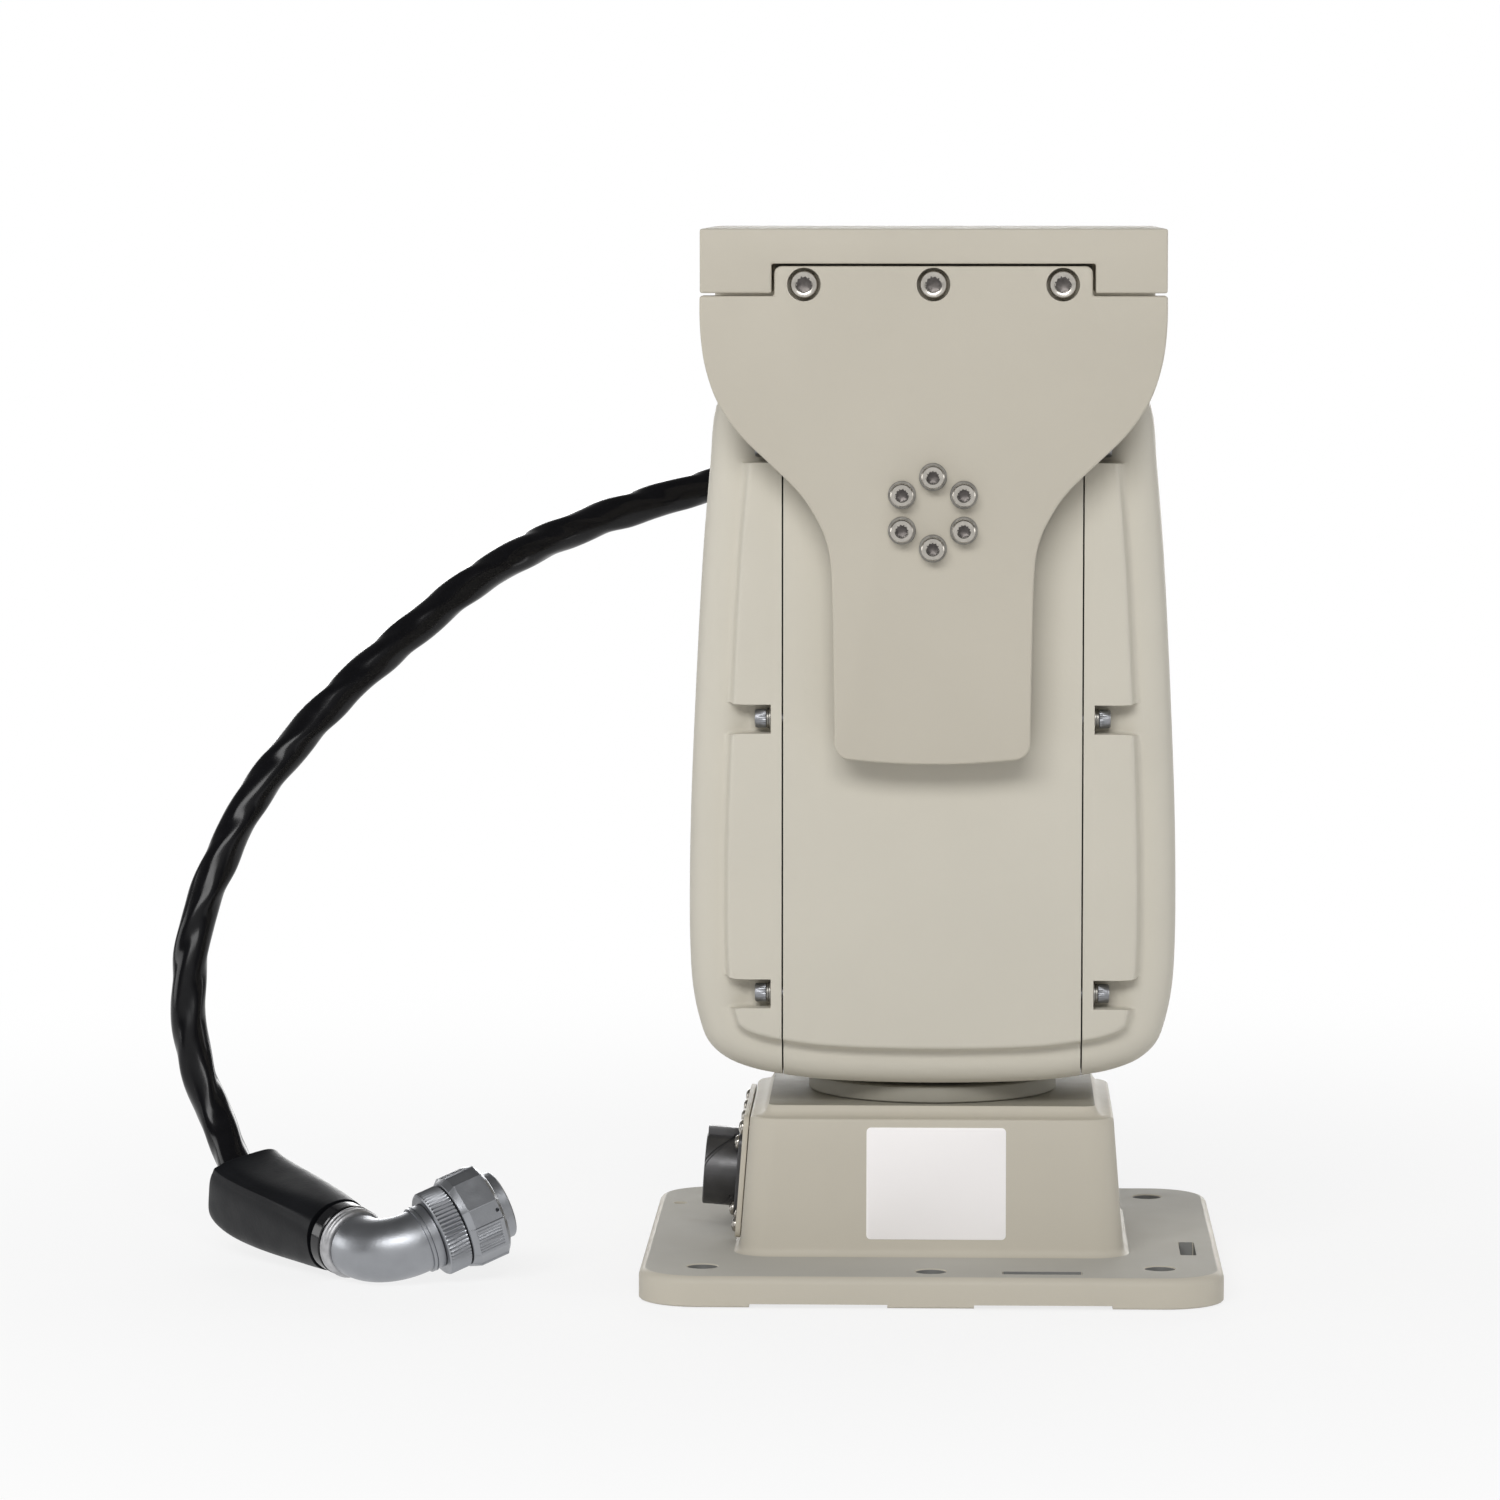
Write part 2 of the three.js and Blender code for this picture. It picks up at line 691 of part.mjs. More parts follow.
// Interface board: the laminate with its terminal blocks, on the bottom plate's pins
function make_interface_board() {
  const low = base_board_z;
  const high = low + board_thickness;
  const board = box(base_board_x - base_board_half_x, base_board_x + base_board_half_x, -base_board_half_y,
    base_board_half_y, low, high);
  // Each block as shares of the board's half sizes: left, right, front, back
  const block_shares = [[-0.8, -0.5, -0.6, 0.6], [0.45, 0.8, -0.7, 0.1], [-0.2, 0.15, 0.2, 0.6]];
  const blocks = block_shares.map(([x0, x1, y0, y1]) =>
    box(base_board_x + x0 * base_board_half_x, base_board_x + x1 * base_board_half_x, y0 * base_board_half_y,
      y1 * base_board_half_y, high - gap, high + chip_height));
  const holes = base_standoff_places().map(([x, y]) =>
    rod('z', standoff_radius / 2 + gap, low - overrun, high + overrun, x, y, small_sides));
  return cut(join(board, ...blocks), ...holes);
}

// Connector panel pieces are drawn upright, then leaned with the pedestal's left face
function leaned(made) {
  return moved(made, panel_frame);
}

function make_panel() {
  const middle = (panel_above - panel_below) / 2;
  const outline = rounded(panel_half_y, (panel_above + panel_below) / 2, panel_corner)
    .map(([y, z]) => [y, z + middle]);
  const plate = slab_yz(outline, -gap - panel_thickness, -gap);
  const opening = rod('x', receptacle_tail_radius + gap, -overrun, overrun);
  return leaned(cut(plate, opening, ...screw_holes(panel_screw_places, m3_shank, panel_screw_length),
    ...screw_holes(receptacle_screw_places, m3_shank, receptacle_screw_length)));
}

function make_receptacle() {
  const mouth = -gap - panel_thickness - gap - receptacle_length;
  const flange = slab_yz(rounded(receptacle_flange_half, receptacle_flange_half, panel_corner), flange_face,
    -gap - panel_thickness - gap);
  const shell = rod('x', receptacle_radius, mouth, flange_face + gap, 0, 0, fine_sides);
  const tail = rod('x', receptacle_tail_radius, -gap - panel_thickness - 2 * gap, receptacle_tail);
  const key = box(mouth + gap, flange_face + gap, -receptacle_key_half, receptacle_key_half,
    receptacle_radius - gap, receptacle_radius + receptacle_key_height);
  const bore = rod('x', receptacle_bore, mouth - overrun, receptacle_tail + overrun);
  return leaned(cut(join(flange, shell, tail, key), bore,
    ...screw_holes(receptacle_screw_places, m3_shank, receptacle_screw_length)));
}

function make_socket_insert() {
  const face = -gap - panel_thickness - gap - receptacle_length + receptacle_recess;
  const plug = rod('x', receptacle_bore - gap, face, receptacle_tail - gap);
  const contact_share = 0.6;
  const contact_count = 6;
  const holes = ring_places('x', contact_share * receptacle_bore, contact_count, face, left).map(({ at }) =>
    rod('x', contact_radius, face - overrun, face + contact_depth, at.y, at.z, hole_sides));
  return leaned(cut(plug, ...holes));
}

piece(base, 'base_housing', make_base_housing(), paint);
piece(base, 'bottom_plate', make_bottom_plate(), raw_aluminium);
piece(base, 'interface_board', make_interface_board(), board_green);
piece(base, 'connector_panel', make_panel(), paint);
piece(base, 'base_receptacle', make_receptacle(), dark_shell);
piece(base, 'receptacle_insert', make_socket_insert(), black_plastic);

// Pan spindle, fixed to the deck, with what it carries
const wheel_low_z = pan_worm_z - wheel_half_width;
const wheel_high_z = pan_worm_z + wheel_half_width;
const spindle_nut_z = wheel_high_z + gap;
const spindle_top_z = spindle_nut_z + spindle_nut_height + gap;

function make_spindle() {
  const foot = deck_z - deck_thickness;
  const body = turned('z', [
    [spindle_bore, foot],
    [spindle_spigot_radius, foot],
    [spindle_spigot_radius, spindle_flange_z],
    [spindle_flange_radius, spindle_flange_z],
    [spindle_flange_radius, ring_top_z],
    [spindle_shoulder_radius, ring_top_z],
    [spindle_shoulder_radius, pan_bearing_z - gap],
    [pan_bearing_inner_radius, pan_bearing_z - gap],
    [pan_bearing_inner_radius, pan_bearing_top_z],
    [spindle_nose_radius, pan_bearing_top_z],
    [spindle_nose_radius, spindle_top_z],
    [spindle_bore, spindle_top_z],
  ], 0, 0, fine_sides);
  return cut(body, ...spindle_screw_holes());
}

// A worm wheel on a long hub: slanted teeth, with a gap between teeth at the mesh angle
function worm_wheel(axis, teeth, mesh_angle, along, a, b, bore, hub_radius, hub_from, hub_to) {
  const pitch_radius = gear_module * teeth / 2;
  const half_tooth = gear_module * Math.PI / 4 - backlash / 2;
  const lean = Math.tan(pressure_angle * Math.PI / 180);
  const rows = [
    [pitch_radius - tooth_depth, half_tooth + tooth_depth * lean],
    [pitch_radius + tooth_height, half_tooth - tooth_height * lean],
  ];
  const outline = [];
  for (let tooth = 0; tooth < teeth; tooth++) {
    const middle = mesh_angle + (tooth + 0.5) * 2 * Math.PI / teeth;
    outline.push([rows[0][0], middle - rows[0][1] / rows[0][0]]);
    outline.push([rows[1][0], middle - rows[1][1] / rows[1][0]]);
    outline.push([rows[1][0], middle + rows[1][1] / rows[1][0]]);
    outline.push([rows[0][0], middle + rows[0][1] / rows[0][0]]);
  }
  const twist = gear_module / (2 * worm_pitch_radius) / pitch_radius;
  const rings = [-wheel_half_width, wheel_half_width].map((w) => outline.map(([r, angle]) => {
    const turn = angle + w * twist;
    return across(axis, a + r * Math.cos(turn), b + r * Math.sin(turn), along + w);
  }));
  const hub = rod(axis, hub_radius, hub_from, hub_to, a, b, fine_sides);
  return cut(join(loft(rings), hub), rod(axis, bore, hub_from - overrun, hub_to + overrun, a, b, fine_sides));
}

// A worm along X: its thread's crest at x = 0 faces the wheel, and its stub runs into the motor
function worm(y, z, mesh_angle, drive_side) {
  const lead = gear_module * Math.PI;
  const half_tooth = lead / 4 - backlash / 2;
  const lean = Math.tan(pressure_angle * Math.PI / 180);
  const root = worm_pitch_radius - tooth_depth;
  const tip = worm_pitch_radius + tooth_height;
  const section = [
    [-half_tooth - tooth_depth * lean, root - gap],
    [-half_tooth + tooth_height * lean, tip],
    [half_tooth - tooth_height * lean, tip],
    [half_tooth + tooth_depth * lean, root - gap],
  ];
  const steps = Math.round(2 * worm_thread_half / lead * worm_steps_per_turn);
  const rings = Array.from({ length: steps + 1 }, (_, i) => {
    const x = (i - steps / 2) * lead / worm_steps_per_turn;
    const angle = mesh_angle + 2 * Math.PI * x / lead;
    return section.map(([dx, r]) => unit(x + dx, y + r * Math.cos(angle), z + r * Math.sin(angle)));
  });
  const end = ear_inner + ear_thickness;
  const core = rod('x', root, -ear_inner + worm_end_gap, ear_inner - worm_end_gap, y, z, 12);
  const journals = rod('x', worm_journal_radius, -end, end, y, z, 16);
  const stub = rod('x', motor_shaft_radius, drive_side * ear_inner, drive_side * (end + motor_shaft_reach), y, z,
    16);
  return join(core, journals, stub, loft(rings));
}

piece(base, 'pan_spindle', make_spindle(), raw_aluminium);
piece(base, 'pan_bearing_inner_ring', tube('z', pan_bearing_inner_radius + bearing_race,
  pan_bearing_inner_radius + gap, pan_bearing_z, pan_bearing_top_z, 0, 0, fine_sides), bearing_steel);
piece(base, 'pan_worm_wheel', worm_wheel('z', pan_teeth, Math.PI / 2, pan_worm_z, 0, 0,
  spindle_nose_radius + gap, pan_hub_radius, pan_bearing_top_z + gap, wheel_high_z), bronze);
piece(base, 'spindle_nut', cut(
  rod('z', spindle_nut_radius, spindle_nut_z, spindle_nut_z + spindle_nut_height, 0, 0, 6),
  rod('z', spindle_nose_radius + gap, spindle_nut_z - overrun, spindle_top_z + overrun, 0, 0, fine_sides),
), bearing_steel);

const slip_flange_z = spindle_top_z + gap;
const rotor_z = slip_flange_z + slip_ring_flange_thickness + gap;
piece(base, 'slip_ring_body', turned('z', [
  [0, slip_flange_z - slip_ring_depth],
  [spindle_bore - gap, slip_flange_z - slip_ring_depth],
  [spindle_bore - gap, slip_flange_z],
  [slip_ring_flange_radius, slip_flange_z],
  [slip_ring_flange_radius, slip_flange_z + slip_ring_flange_thickness],
  [0, slip_flange_z + slip_ring_flange_thickness],
]), black_plastic);

// Head outline: the right half, as shares of the half width and of the axis's rise over the bottom
const side_shares = [
  [0, 0], [0.44, 0.0052], [0.615, 0.0143], [0.749, 0.0257], [0.853, 0.0442], [0.924, 0.0727], [0.9605, 0.1131],
  [0.9876, 0.1706], [0.9989, 0.25], [1, 0.36], [0.9944, 0.4853], [0.9774, 0.6625], [0.9447, 0.9207],
  [0.9149, 1.0727],
];
const crown_start = 25;
const crown_steps = 9;

function head_outline() {
  const right = side_shares.map(([wide, high]) =>
    new THREE.Vector2(wide * head_half_width, head_bottom_z + high * tilt_axis_rise));
  for (let i = 0; i <= crown_steps; i++) {
    const angle = (crown_start + (90 - crown_start) * i / crown_steps) * Math.PI / 180;
    right.push(new THREE.Vector2(head_top_radius * Math.cos(angle), tilt_z + head_top_radius * Math.sin(angle)));
  }
  const left_half = right.slice(1, -1).reverse().map((p) => new THREE.Vector2(-p.x, p.y));
  return [...right, ...left_half];
}

// The outline moved inwards by a distance, point by point
function inset_outline(outline, distance) {
  const count = outline.length;
  return outline.map((p, i) => {
    const before = outline[(i + count - 1) % count];
    const after = outline[(i + 1) % count];
    const along = new THREE.Vector2().subVectors(after, before).normalize();
    return new THREE.Vector2(p.x - along.y * distance, p.y + along.x * distance);
  });
}

const outline = head_outline();

function head_rings(stations) {
  return stations.map(([y, inset]) => inset_outline(outline, inset).map((p) => unit(p.x, y, p.y)));
}

function head_skin() {
  // Share of the way from the side to the band, and from the band to the raised face; share of the inset
  const band = head_band_half_depth - head_side_half_depth;
  const raise = head_half_depth - head_band_half_depth;
  const edge_shares = [[0, 0, 0], [0.55, 0, 0.08], [0.88, 0, 0.3], [1, 0, 0.7], [1, 0.35, 0.88], [1, 1, 1]];
  const half = edge_shares.map(([b, r, inset]) =>
    [head_side_half_depth + band * b + raise * r, head_panel_inset * inset]);
  const front = [...half].reverse().map(([y, inset]) => [-y, inset]);
  return loft(head_rings([...front, ...half]));
}

const skin = head_skin();
const reach_z = plate_top_z;
const cover_screw_y = cover_screw_axis_depth;
const cover_start = frame_half_width + seam;
const pocket_start = cover_start + cover_screw_land;
const gasket_end = frame_half_width + gap + gasket_thickness;
const cover_screw_length = cover_screw_land + seam + cover_screw_grip;
const cover_screw_heights = cover_screw_shares.map((share) => head_bottom_z + share * tilt_axis_rise);

function arch(half_width, bottom, radius) {
  const points = [[-half_width, bottom], [half_width, bottom]];
  const from = Math.acos(half_width / radius);
  for (let i = 0; i <= crown_steps; i++) {
    const angle = from + (Math.PI - 2 * from) * i / crown_steps;
    points.push([radius * Math.cos(angle), tilt_z + radius * Math.sin(angle)]);
  }
  return points;
}

function cover_screw_places(side) {
  const facing = unit(side, 0, 0);
  return cover_screw_heights.flatMap((z) => [-1, 1].map((front) => ({
    at: unit(side * pocket_start, front * cover_screw_y, z), facing,
  })));
}

function gasket_ring(side, grow, from, to) {
  const top = tilt_z + Math.sqrt(head_top_radius ** 2 - frame_half_width ** 2);
  const low = head_bottom_z + 3 * gasket_margin + gasket_margin / 2;
  const half_z = (top - gasket_margin - low) / 2;
  const half_y = frame_bay_half_depth + gasket_width + gasket_margin;
  const middle = low + half_z;
  const ring = (extra) => rounded(half_y + extra, half_z + extra, gasket_corner).map(([y, z]) => [y, z + middle]);
  const [x0, x1] = side > 0 ? [from, to] : [-to, -from];
  return cut(slab_yz(ring(grow), x0, x1), slab_yz(ring(-gasket_width - grow), x0 - overrun, x1 + overrun));
}

function frame_side(x0, x1) {
  const half = 2 * head_half_depth;
  return box(x0, x1, -half, half, 0, reach_z);
}

function make_frame() {
  let body = skin.intersect(frame_side(-frame_half_width, frame_half_width));
  const through = frame_half_width + overrun;
  const floor = head_bottom_z + head_wall + gap;
  const window_half = frame_half_width - frame_rim_width;
  const window_inset = head_panel_inset + head_wall;
  body = cut(body,
    slab_xz(arch(through, floor, head_top_radius - head_wall), -frame_bay_half_depth, frame_bay_half_depth),
    slab_xz(arch(window_half, head_bottom_z + window_inset, head_top_radius - window_inset),
      -frame_window_half_depth, frame_window_half_depth));
  body = join(body, rod('z', pan_bearing_outer_radius + hub_wall, head_bottom_z + pan_lip_thickness / 2,
    retainer_top_z, 0, 0, fine_sides), ...board_bosses());
  body = cut(body,
    rod('z', pan_bearing_outer_radius + gap, pan_bearing_z - gap, retainer_top_z + overrun, 0, 0, fine_sides),
    rod('z', spindle_shoulder_radius + 2 * gap + pan_seal_width, 0, pan_bearing_z, 0, 0, fine_sides));
  const boss_start = tilt_bearing_depth - tilt_bearing_width - gap;
  for (const side of [-1, 1]) {
    const wall = side * (frame_window_half_depth + gap);
    body = join(body, rod('y', tilt_bearing_outer_radius + tilt_boss_wall, side * boss_start, wall, tilt_z, 0,
      fine_sides));
    body = cut(body,
      rod('y', tilt_bearing_outer_radius + gap, side * (boss_start - overrun), side * (tilt_bearing_depth + gap),
        tilt_z, 0, fine_sides),
      rod('y', tilt_lip_radius, side * boss_start, side * (head_half_depth + overrun), tilt_z, 0, fine_sides));
    body = cut(body, ...screw_holes(cover_screw_places(side), m4_shank, cover_screw_length));
  }
  return body;
}

// Bosses on the front wall that the control board stands on
function board_bosses() {
  const inset = 2 * standoff_radius;
  return [[1, 1], [-1, 1], [-1, -1], [1, -1]].map(([sx, sz]) =>
    rod('y', standoff_radius, -frame_window_half_depth - gap, control_board_y - gap,
      control_board_height + sz * (control_board_half_z - inset), sx * (control_board_half_x - inset), small_sides));
}

// A pocket that opens the raised face to a screw head, with a ramp up to the band
function screw_pocket(side, front, height) {
  const floor = cover_screw_y - m4_head - gap;
  const flat_end = pocket_start + pocket_floor_length;
  const out = head_half_width + overrun;
  const far = head_half_depth + overrun;
  const points = [
    [pocket_start, floor], [flat_end, floor], [flat_end + pocket_ramp, head_band_half_depth],
    [out, head_band_half_depth], [out, far], [pocket_start, far],
  ].map(([x, y]) => [side * x, front * y]);
  return slab_xy(points, height - pocket_half_height, height + pocket_half_height);
}

function make_cover(side) {
  const limits = [side * cover_start, side * (head_half_width + overrun)].sort((p, q) => p - q);
  let body = skin.intersect(frame_side(...limits));
  const side_depth = head_side_half_depth - head_wall;
  const deep_inset = 2 * head_wall;
  body = cut(body, loft(head_rings([[-frame_bay_half_depth, deep_inset], [-side_depth, head_wall],
    [side_depth, head_wall], [frame_bay_half_depth, deep_inset]])));
  for (const height of cover_screw_heights) {
    for (const front of [-1, 1]) body = cut(body, screw_pocket(side, front, height));
  }
  body = cut(body, ...screw_holes(cover_screw_places(side), m4_shank, cover_screw_length));
  return cut(body, gasket_ring(side, gap, cover_start - overrun, gasket_end + gap));
}

piece(head, 'centre_frame', make_frame(), paint);
for (const [name, side] of [['left', -1], ['right', 1]]) {
  piece(head, `${name}_cover`, make_cover(side), paint);
  piece(head, `${name}_gasket`, gasket_ring(side, 0, frame_half_width + gap, gasket_end), black_rubber);
}

// Pan bearing's outer parts, its retainer and the seal under it
const race_gap_inner = pan_bearing_inner_radius + bearing_race;
const race_gap_outer = pan_bearing_outer_radius - bearing_race;
piece(head, 'pan_bearing_outer_ring', tube('z', pan_bearing_outer_radius, race_gap_outer, pan_bearing_z,
  pan_bearing_top_z, 0, 0, fine_sides), bearing_steel);
piece(head, 'pan_ball_cage', ball_cage('z', race_gap_inner, race_gap_outer,
  (pan_bearing_z + pan_bearing_top_z) / 2, 0, 0), bearing_steel);
piece(head, 'pan_lock_ring', make_lock_ring(), raw_aluminium);
piece(head, 'pan_seal', tube('z', spindle_shoulder_radius + gap + pan_seal_width, spindle_shoulder_radius + gap,
  head_bottom_z + gap, pan_bearing_z - gap, 0, 0, fine_sides), black_rubber);

// Bearing balls held in their cage, between an inner and an outer race
function ball_cage(axis, inner, outer, along, a, b) {
  const circle = (inner + outer) / 2;
  const radius = (outer - inner) / 2 - gap;
  const cage = tube(axis, circle + cage_half_wall, circle - cage_half_wall, along - cage_half_width,
    along + cage_half_width, a, b, ball_count);
  const balls = ring_places(axis, circle, ball_count, along, unit(0, 0, 1), a, b).map(({ at }) =>
    solid(new THREE.IcosahedronGeometry(radius, 0).translate(at.x, at.y, at.z)));
  return join(cage, ...balls);
}

function make_lock_ring() {
  const outer = pan_bearing_outer_radius;
  const notch = outer - retainer_notch_depth;
  const ring = tube('z', outer, outer - retainer_land, retainer_z, retainer_top_z, 0, 0, fine_sides);
  const low = retainer_z - overrun;
  const high = retainer_top_z + overrun;
  return cut(ring,
    box(notch, outer + overrun, -retainer_notch_half, retainer_notch_half, low, high),
    box(-outer - overrun, -notch, -retainer_notch_half, retainer_notch_half, low, high));
}

// Gear brackets: a web on the back wall and two ears that carry the worm
function ear_pair(outline_yz, y, z) {
  const hole = rod('x', worm_journal_radius + gap, -frame_half_width, frame_half_width, y, z, 16);
  return [-1, 1].map((side) => {
    const [x0, x1] = [side * ear_inner, side * (ear_inner + ear_thickness)].sort((p, q) => p - q);
    return cut(slab_yz(outline_yz, x0, x1), hole);
  });
}

function make_pan_gear_bracket() {
  const half = ear_half_height;
  const ears = ear_pair([[pan_worm_y - half, pan_worm_z - half], [web_y, pan_worm_z - half],
    [web_y, pan_worm_z + half], [pan_worm_y - half, pan_worm_z + half]], pan_worm_y, pan_worm_z);
  const reach = ear_inner + ear_thickness;
  const web = box(-reach, reach, web_y - ear_web_thickness, web_y, pan_worm_z - half, pan_worm_z + half);
  return join(web, ...ears);
}

function make_tilt_gear_bracket() {
  const half = ear_half_height;
  const boss_bottom = tilt_z - tilt_bearing_outer_radius - tilt_boss_wall;
  const web_top = boss_bottom - ear_web_drop;
  const web_low = web_top - 2 * half;
  const low = tilt_worm_z - half;
  const high = tilt_worm_z + half;
  const ears = ear_pair([[-half, low], [half, low], [web_y - ear_web_thickness, web_low], [web_y, web_low],
    [web_y, web_top], [frame_half_width - 2 * half, web_top], [half, high], [-half, high]], 0, tilt_worm_z);
  const reach = ear_inner + ear_thickness;
  return join(box(-reach, reach, web_y - ear_web_thickness, web_y, web_low, web_top), ...ears);
}

// A geared motor: a square gearbox, a round can and a shaft hole in its face
function make_motor(side, y, z) {
  const face = side * (ear_inner + ear_thickness + gap);
  const gearbox_share = 0.4;
  const neck = face + side * motor_length * gearbox_share;
  const end = face + side * motor_length;
  const gearbox = box(face, neck, y - motor_half, y + motor_half, z - motor_half, z + motor_half);
  const can = rod('x', motor_half - gap, neck - side * gap, end, y, z);
  const hole = rod('x', motor_shaft_radius + gap, face - side * overrun,
    face + side * (motor_shaft_reach + gap), y, z, 16);
  return cut(join(gearbox, can), hole);
}

piece(head, 'pan_gear_bracket', make_pan_gear_bracket(), raw_aluminium);
piece(head, 'tilt_gear_bracket', make_tilt_gear_bracket(), raw_aluminium);
piece(head, 'pan_motor', make_motor(-1, pan_worm_y, pan_worm_z), black_plastic);
piece(head, 'tilt_motor', make_motor(1, 0, tilt_worm_z), black_plastic);
piece(head, 'pan_worm', worm(pan_worm_y, pan_worm_z, Math.PI, -1), bearing_steel);
piece(head, 'tilt_worm', worm(0, tilt_worm_z, Math.PI / 2, 1), bearing_steel);

// Slip ring rotor, held from turning by a strip to the back wall
const rotor_strip_z = rotor_z + rotor_collar_height + 2 * rotor_bracket_thickness;
piece(head, 'slip_ring_rotor', turned('z', [
  [0, rotor_z], [rotor_collar_radius, rotor_z], [rotor_collar_radius, rotor_z + rotor_collar_height],
  [rotor_radius, rotor_z + rotor_collar_height], [rotor_radius, rotor_z + rotor_height], [0, rotor_z + rotor_height],
], 0, 0, 16), black_plastic);
piece(head, 'slip_ring_bracket', cut(join(
  box(-rotor_bracket_half, rotor_bracket_half, -rotor_bracket_half, web_y, rotor_strip_z,
    rotor_strip_z + rotor_bracket_thickness),
  box(-rotor_bracket_half, rotor_bracket_half, web_y - rotor_bracket_thickness, web_y, rotor_strip_z,
    rotor_strip_z + rotor_bracket_foot),
), rod('z', rotor_radius + gap, rotor_strip_z - overrun, rotor_strip_z + overrun, 0, 0, 16)), stainless);

// Control board on the front wall's bosses, chips towards the middle
function make_control_board() {
  const low = control_board_y;
  const high = low + board_thickness;
  const z0 = control_board_height - control_board_half_z;
  const z1 = control_board_height + control_board_half_z;
  const board = box(-control_board_half_x, control_board_half_x, low, high, z0, z1);
  // Chips as shares of the board's half sizes: left, right, bottom, top
  const chip_shares = [[-0.7, -0.1, 0.3, 0.7], [0.2, 0.7, 0.1, 0.5], [-0.6, 0, -0.6, -0.1], [0.25, 0.8, -0.8, -0.4]];
  const chips = chip_shares.map(([x0, x1, b0, b1]) =>
    box(x0 * control_board_half_x, x1 * control_board_half_x, high - gap, high + chip_height,
      control_board_height + b0 * control_board_half_z, control_board_height + b1 * control_board_half_z));
  return join(board, ...chips);
}
piece(head, 'control_board', make_control_board(), board_green);

// Tilt bearings: outer rings, balls and seals stay in the head
const tilt_race_inner = tilt_shaft_radius + gap + bearing_race;
const tilt_race_outer = tilt_bearing_outer_radius - bearing_race;
const bearing_near = tilt_bearing_depth - tilt_bearing_width;
const both_ends = [['front', -1], ['rear', 1]];
for (const [name, s] of both_ends) {
  piece(head, `${name}_tilt_bearing_outer_ring`, tube('y', tilt_bearing_outer_radius, tilt_race_outer,
    s * bearing_near, s * tilt_bearing_depth, tilt_z, 0, fine_sides), bearing_steel);
  piece(head, `${name}_tilt_ball_cage`, ball_cage('y', tilt_race_inner, tilt_race_outer,
    s * (bearing_near + tilt_bearing_width / 2), tilt_z, 0), bearing_steel);
  piece(head, `${name}_shaft_seal`, tube('y', tilt_lip_radius - gap, tilt_shaft_radius + gap,
    s * (tilt_bearing_depth + 2 * gap), s * (head_half_depth - gap), tilt_z, 0, fine_sides), black_rubber);
  piece(bracket, `${name}_tilt_bearing_inner_ring`, tube('y', tilt_race_inner, tilt_shaft_radius + gap,
    s * bearing_near, s * tilt_bearing_depth, tilt_z, 0, fine_sides), bearing_steel);
}

// Tilt shaft and its wheel, whose hub spaces the bearings apart
function hub_screw_holes(side) {
  const places = ring_places('y', hub_screw_circle, hub_screw_count, side * arm_outer_y, unit(0, side, 0), tilt_z);
  return screw_holes(places, m5_shank, arm_thickness + hub_screw_grip);
}

const shaft_end = arm_inner_y - gap;
const hub_end = bearing_near - gap;
piece(bracket, 'tilt_shaft', cut(
  tube('y', tilt_shaft_radius, tilt_shaft_bore, -shaft_end, shaft_end, tilt_z, 0, fine_sides),
  ...hub_screw_holes(-1), ...hub_screw_holes(1)), bearing_steel);
piece(bracket, 'tilt_worm_wheel', worm_wheel('y', tilt_teeth, Math.PI, 0, tilt_z, 0, tilt_shaft_radius + gap,
  tilt_shaft_radius + gap + tilt_hub_wall, -hub_end, hub_end), bronze);

// Arms: wide shoulders, a tab into the plate, and a tongue down over the body
// Share of the way from the tongue's half width to the shoulder's, and share of the shoulder's rise
const flank_shares = [
  [1, 1], [1, 0.897], [0.9875, 0.78], [0.956, 0.664], [0.869, 0.51], [0.6985, 0.357], [0.497, 0.234],
  [0.31, 0.122], [0.216, 0.053], [0.139, -0.025], [0.085, -0.092], [0.042, -0.18], [0.02, -0.325],
  [0.008, -0.67], [0, -1],
];
const flank_points = 16;

function arm_outline() {
  const spread = arm_half_width - tongue_half_width;
  const flank = new THREE.SplineCurve(flank_shares.map(([wide, high]) =>
    new THREE.Vector2(tongue_half_width + spread * wide, tilt_z + arm_shoulder_rise * high)));
  const tab_top = tilt_z + arm_shoulder_rise + arm_tab_height;
  const right = [
    [arm_tab_half - arm_tab_corner, tab_top],
    [arm_tab_half, tab_top - arm_tab_corner],
    [arm_tab_half, tilt_z + arm_shoulder_rise],
    ...flank.getSpacedPoints(flank_points).map((p) => [p.x, p.y]),
  ];
  const corner_z = tilt_z - tongue_drop + tongue_crown;
  for (let i = 0; i <= corner_steps; i++) {
    const angle = i / corner_steps * Math.PI / 2;
    right.push([tongue_half_width - tongue_corner * (1 - Math.cos(angle)),
      corner_z + tongue_corner * (1 - Math.sin(angle))]);
  }
  const middle = [0, tilt_z - tongue_drop];
  const mirrored = [...right].reverse().map(([x, z]) => [-x, z]);
  return [...mirrored, ...right, middle].reverse();
}

function plate_screw_places(side) {
  const face = side * (arm_outer_y - counterbore_depth + m6_height + gap);
  return [-plate_screw_x, 0, plate_screw_x].map((x) =>
    ({ at: unit(x, face, channel_z - plate_screw_drop), facing: unit(0, side, 0) }));
}
const plate_screw_length = arm_thickness - counterbore_depth + plate_rib_thickness;

function make_arm(side) {
  const [y0, y1] = [side * arm_inner_y, side * arm_outer_y].sort((p, q) => p - q);
  let body = slab_xz(arm_outline(), y0, y1);
  const sink = rod('z', counterbore_radius, -m6_height - gap, overrun, 0, 0, 16);
  body = cut(body, ...copies(sink, plate_screw_places(side)), ...hub_screw_holes(side),
    ...screw_holes(plate_screw_places(side), m6_shank, m6_height + plate_screw_length, small_sides));
  if (side < 0) return body;
  return cut(body, rod('y', gland_neck_radius + gap, y0 - overrun, y1 + overrun, tilt_z, 0));
}

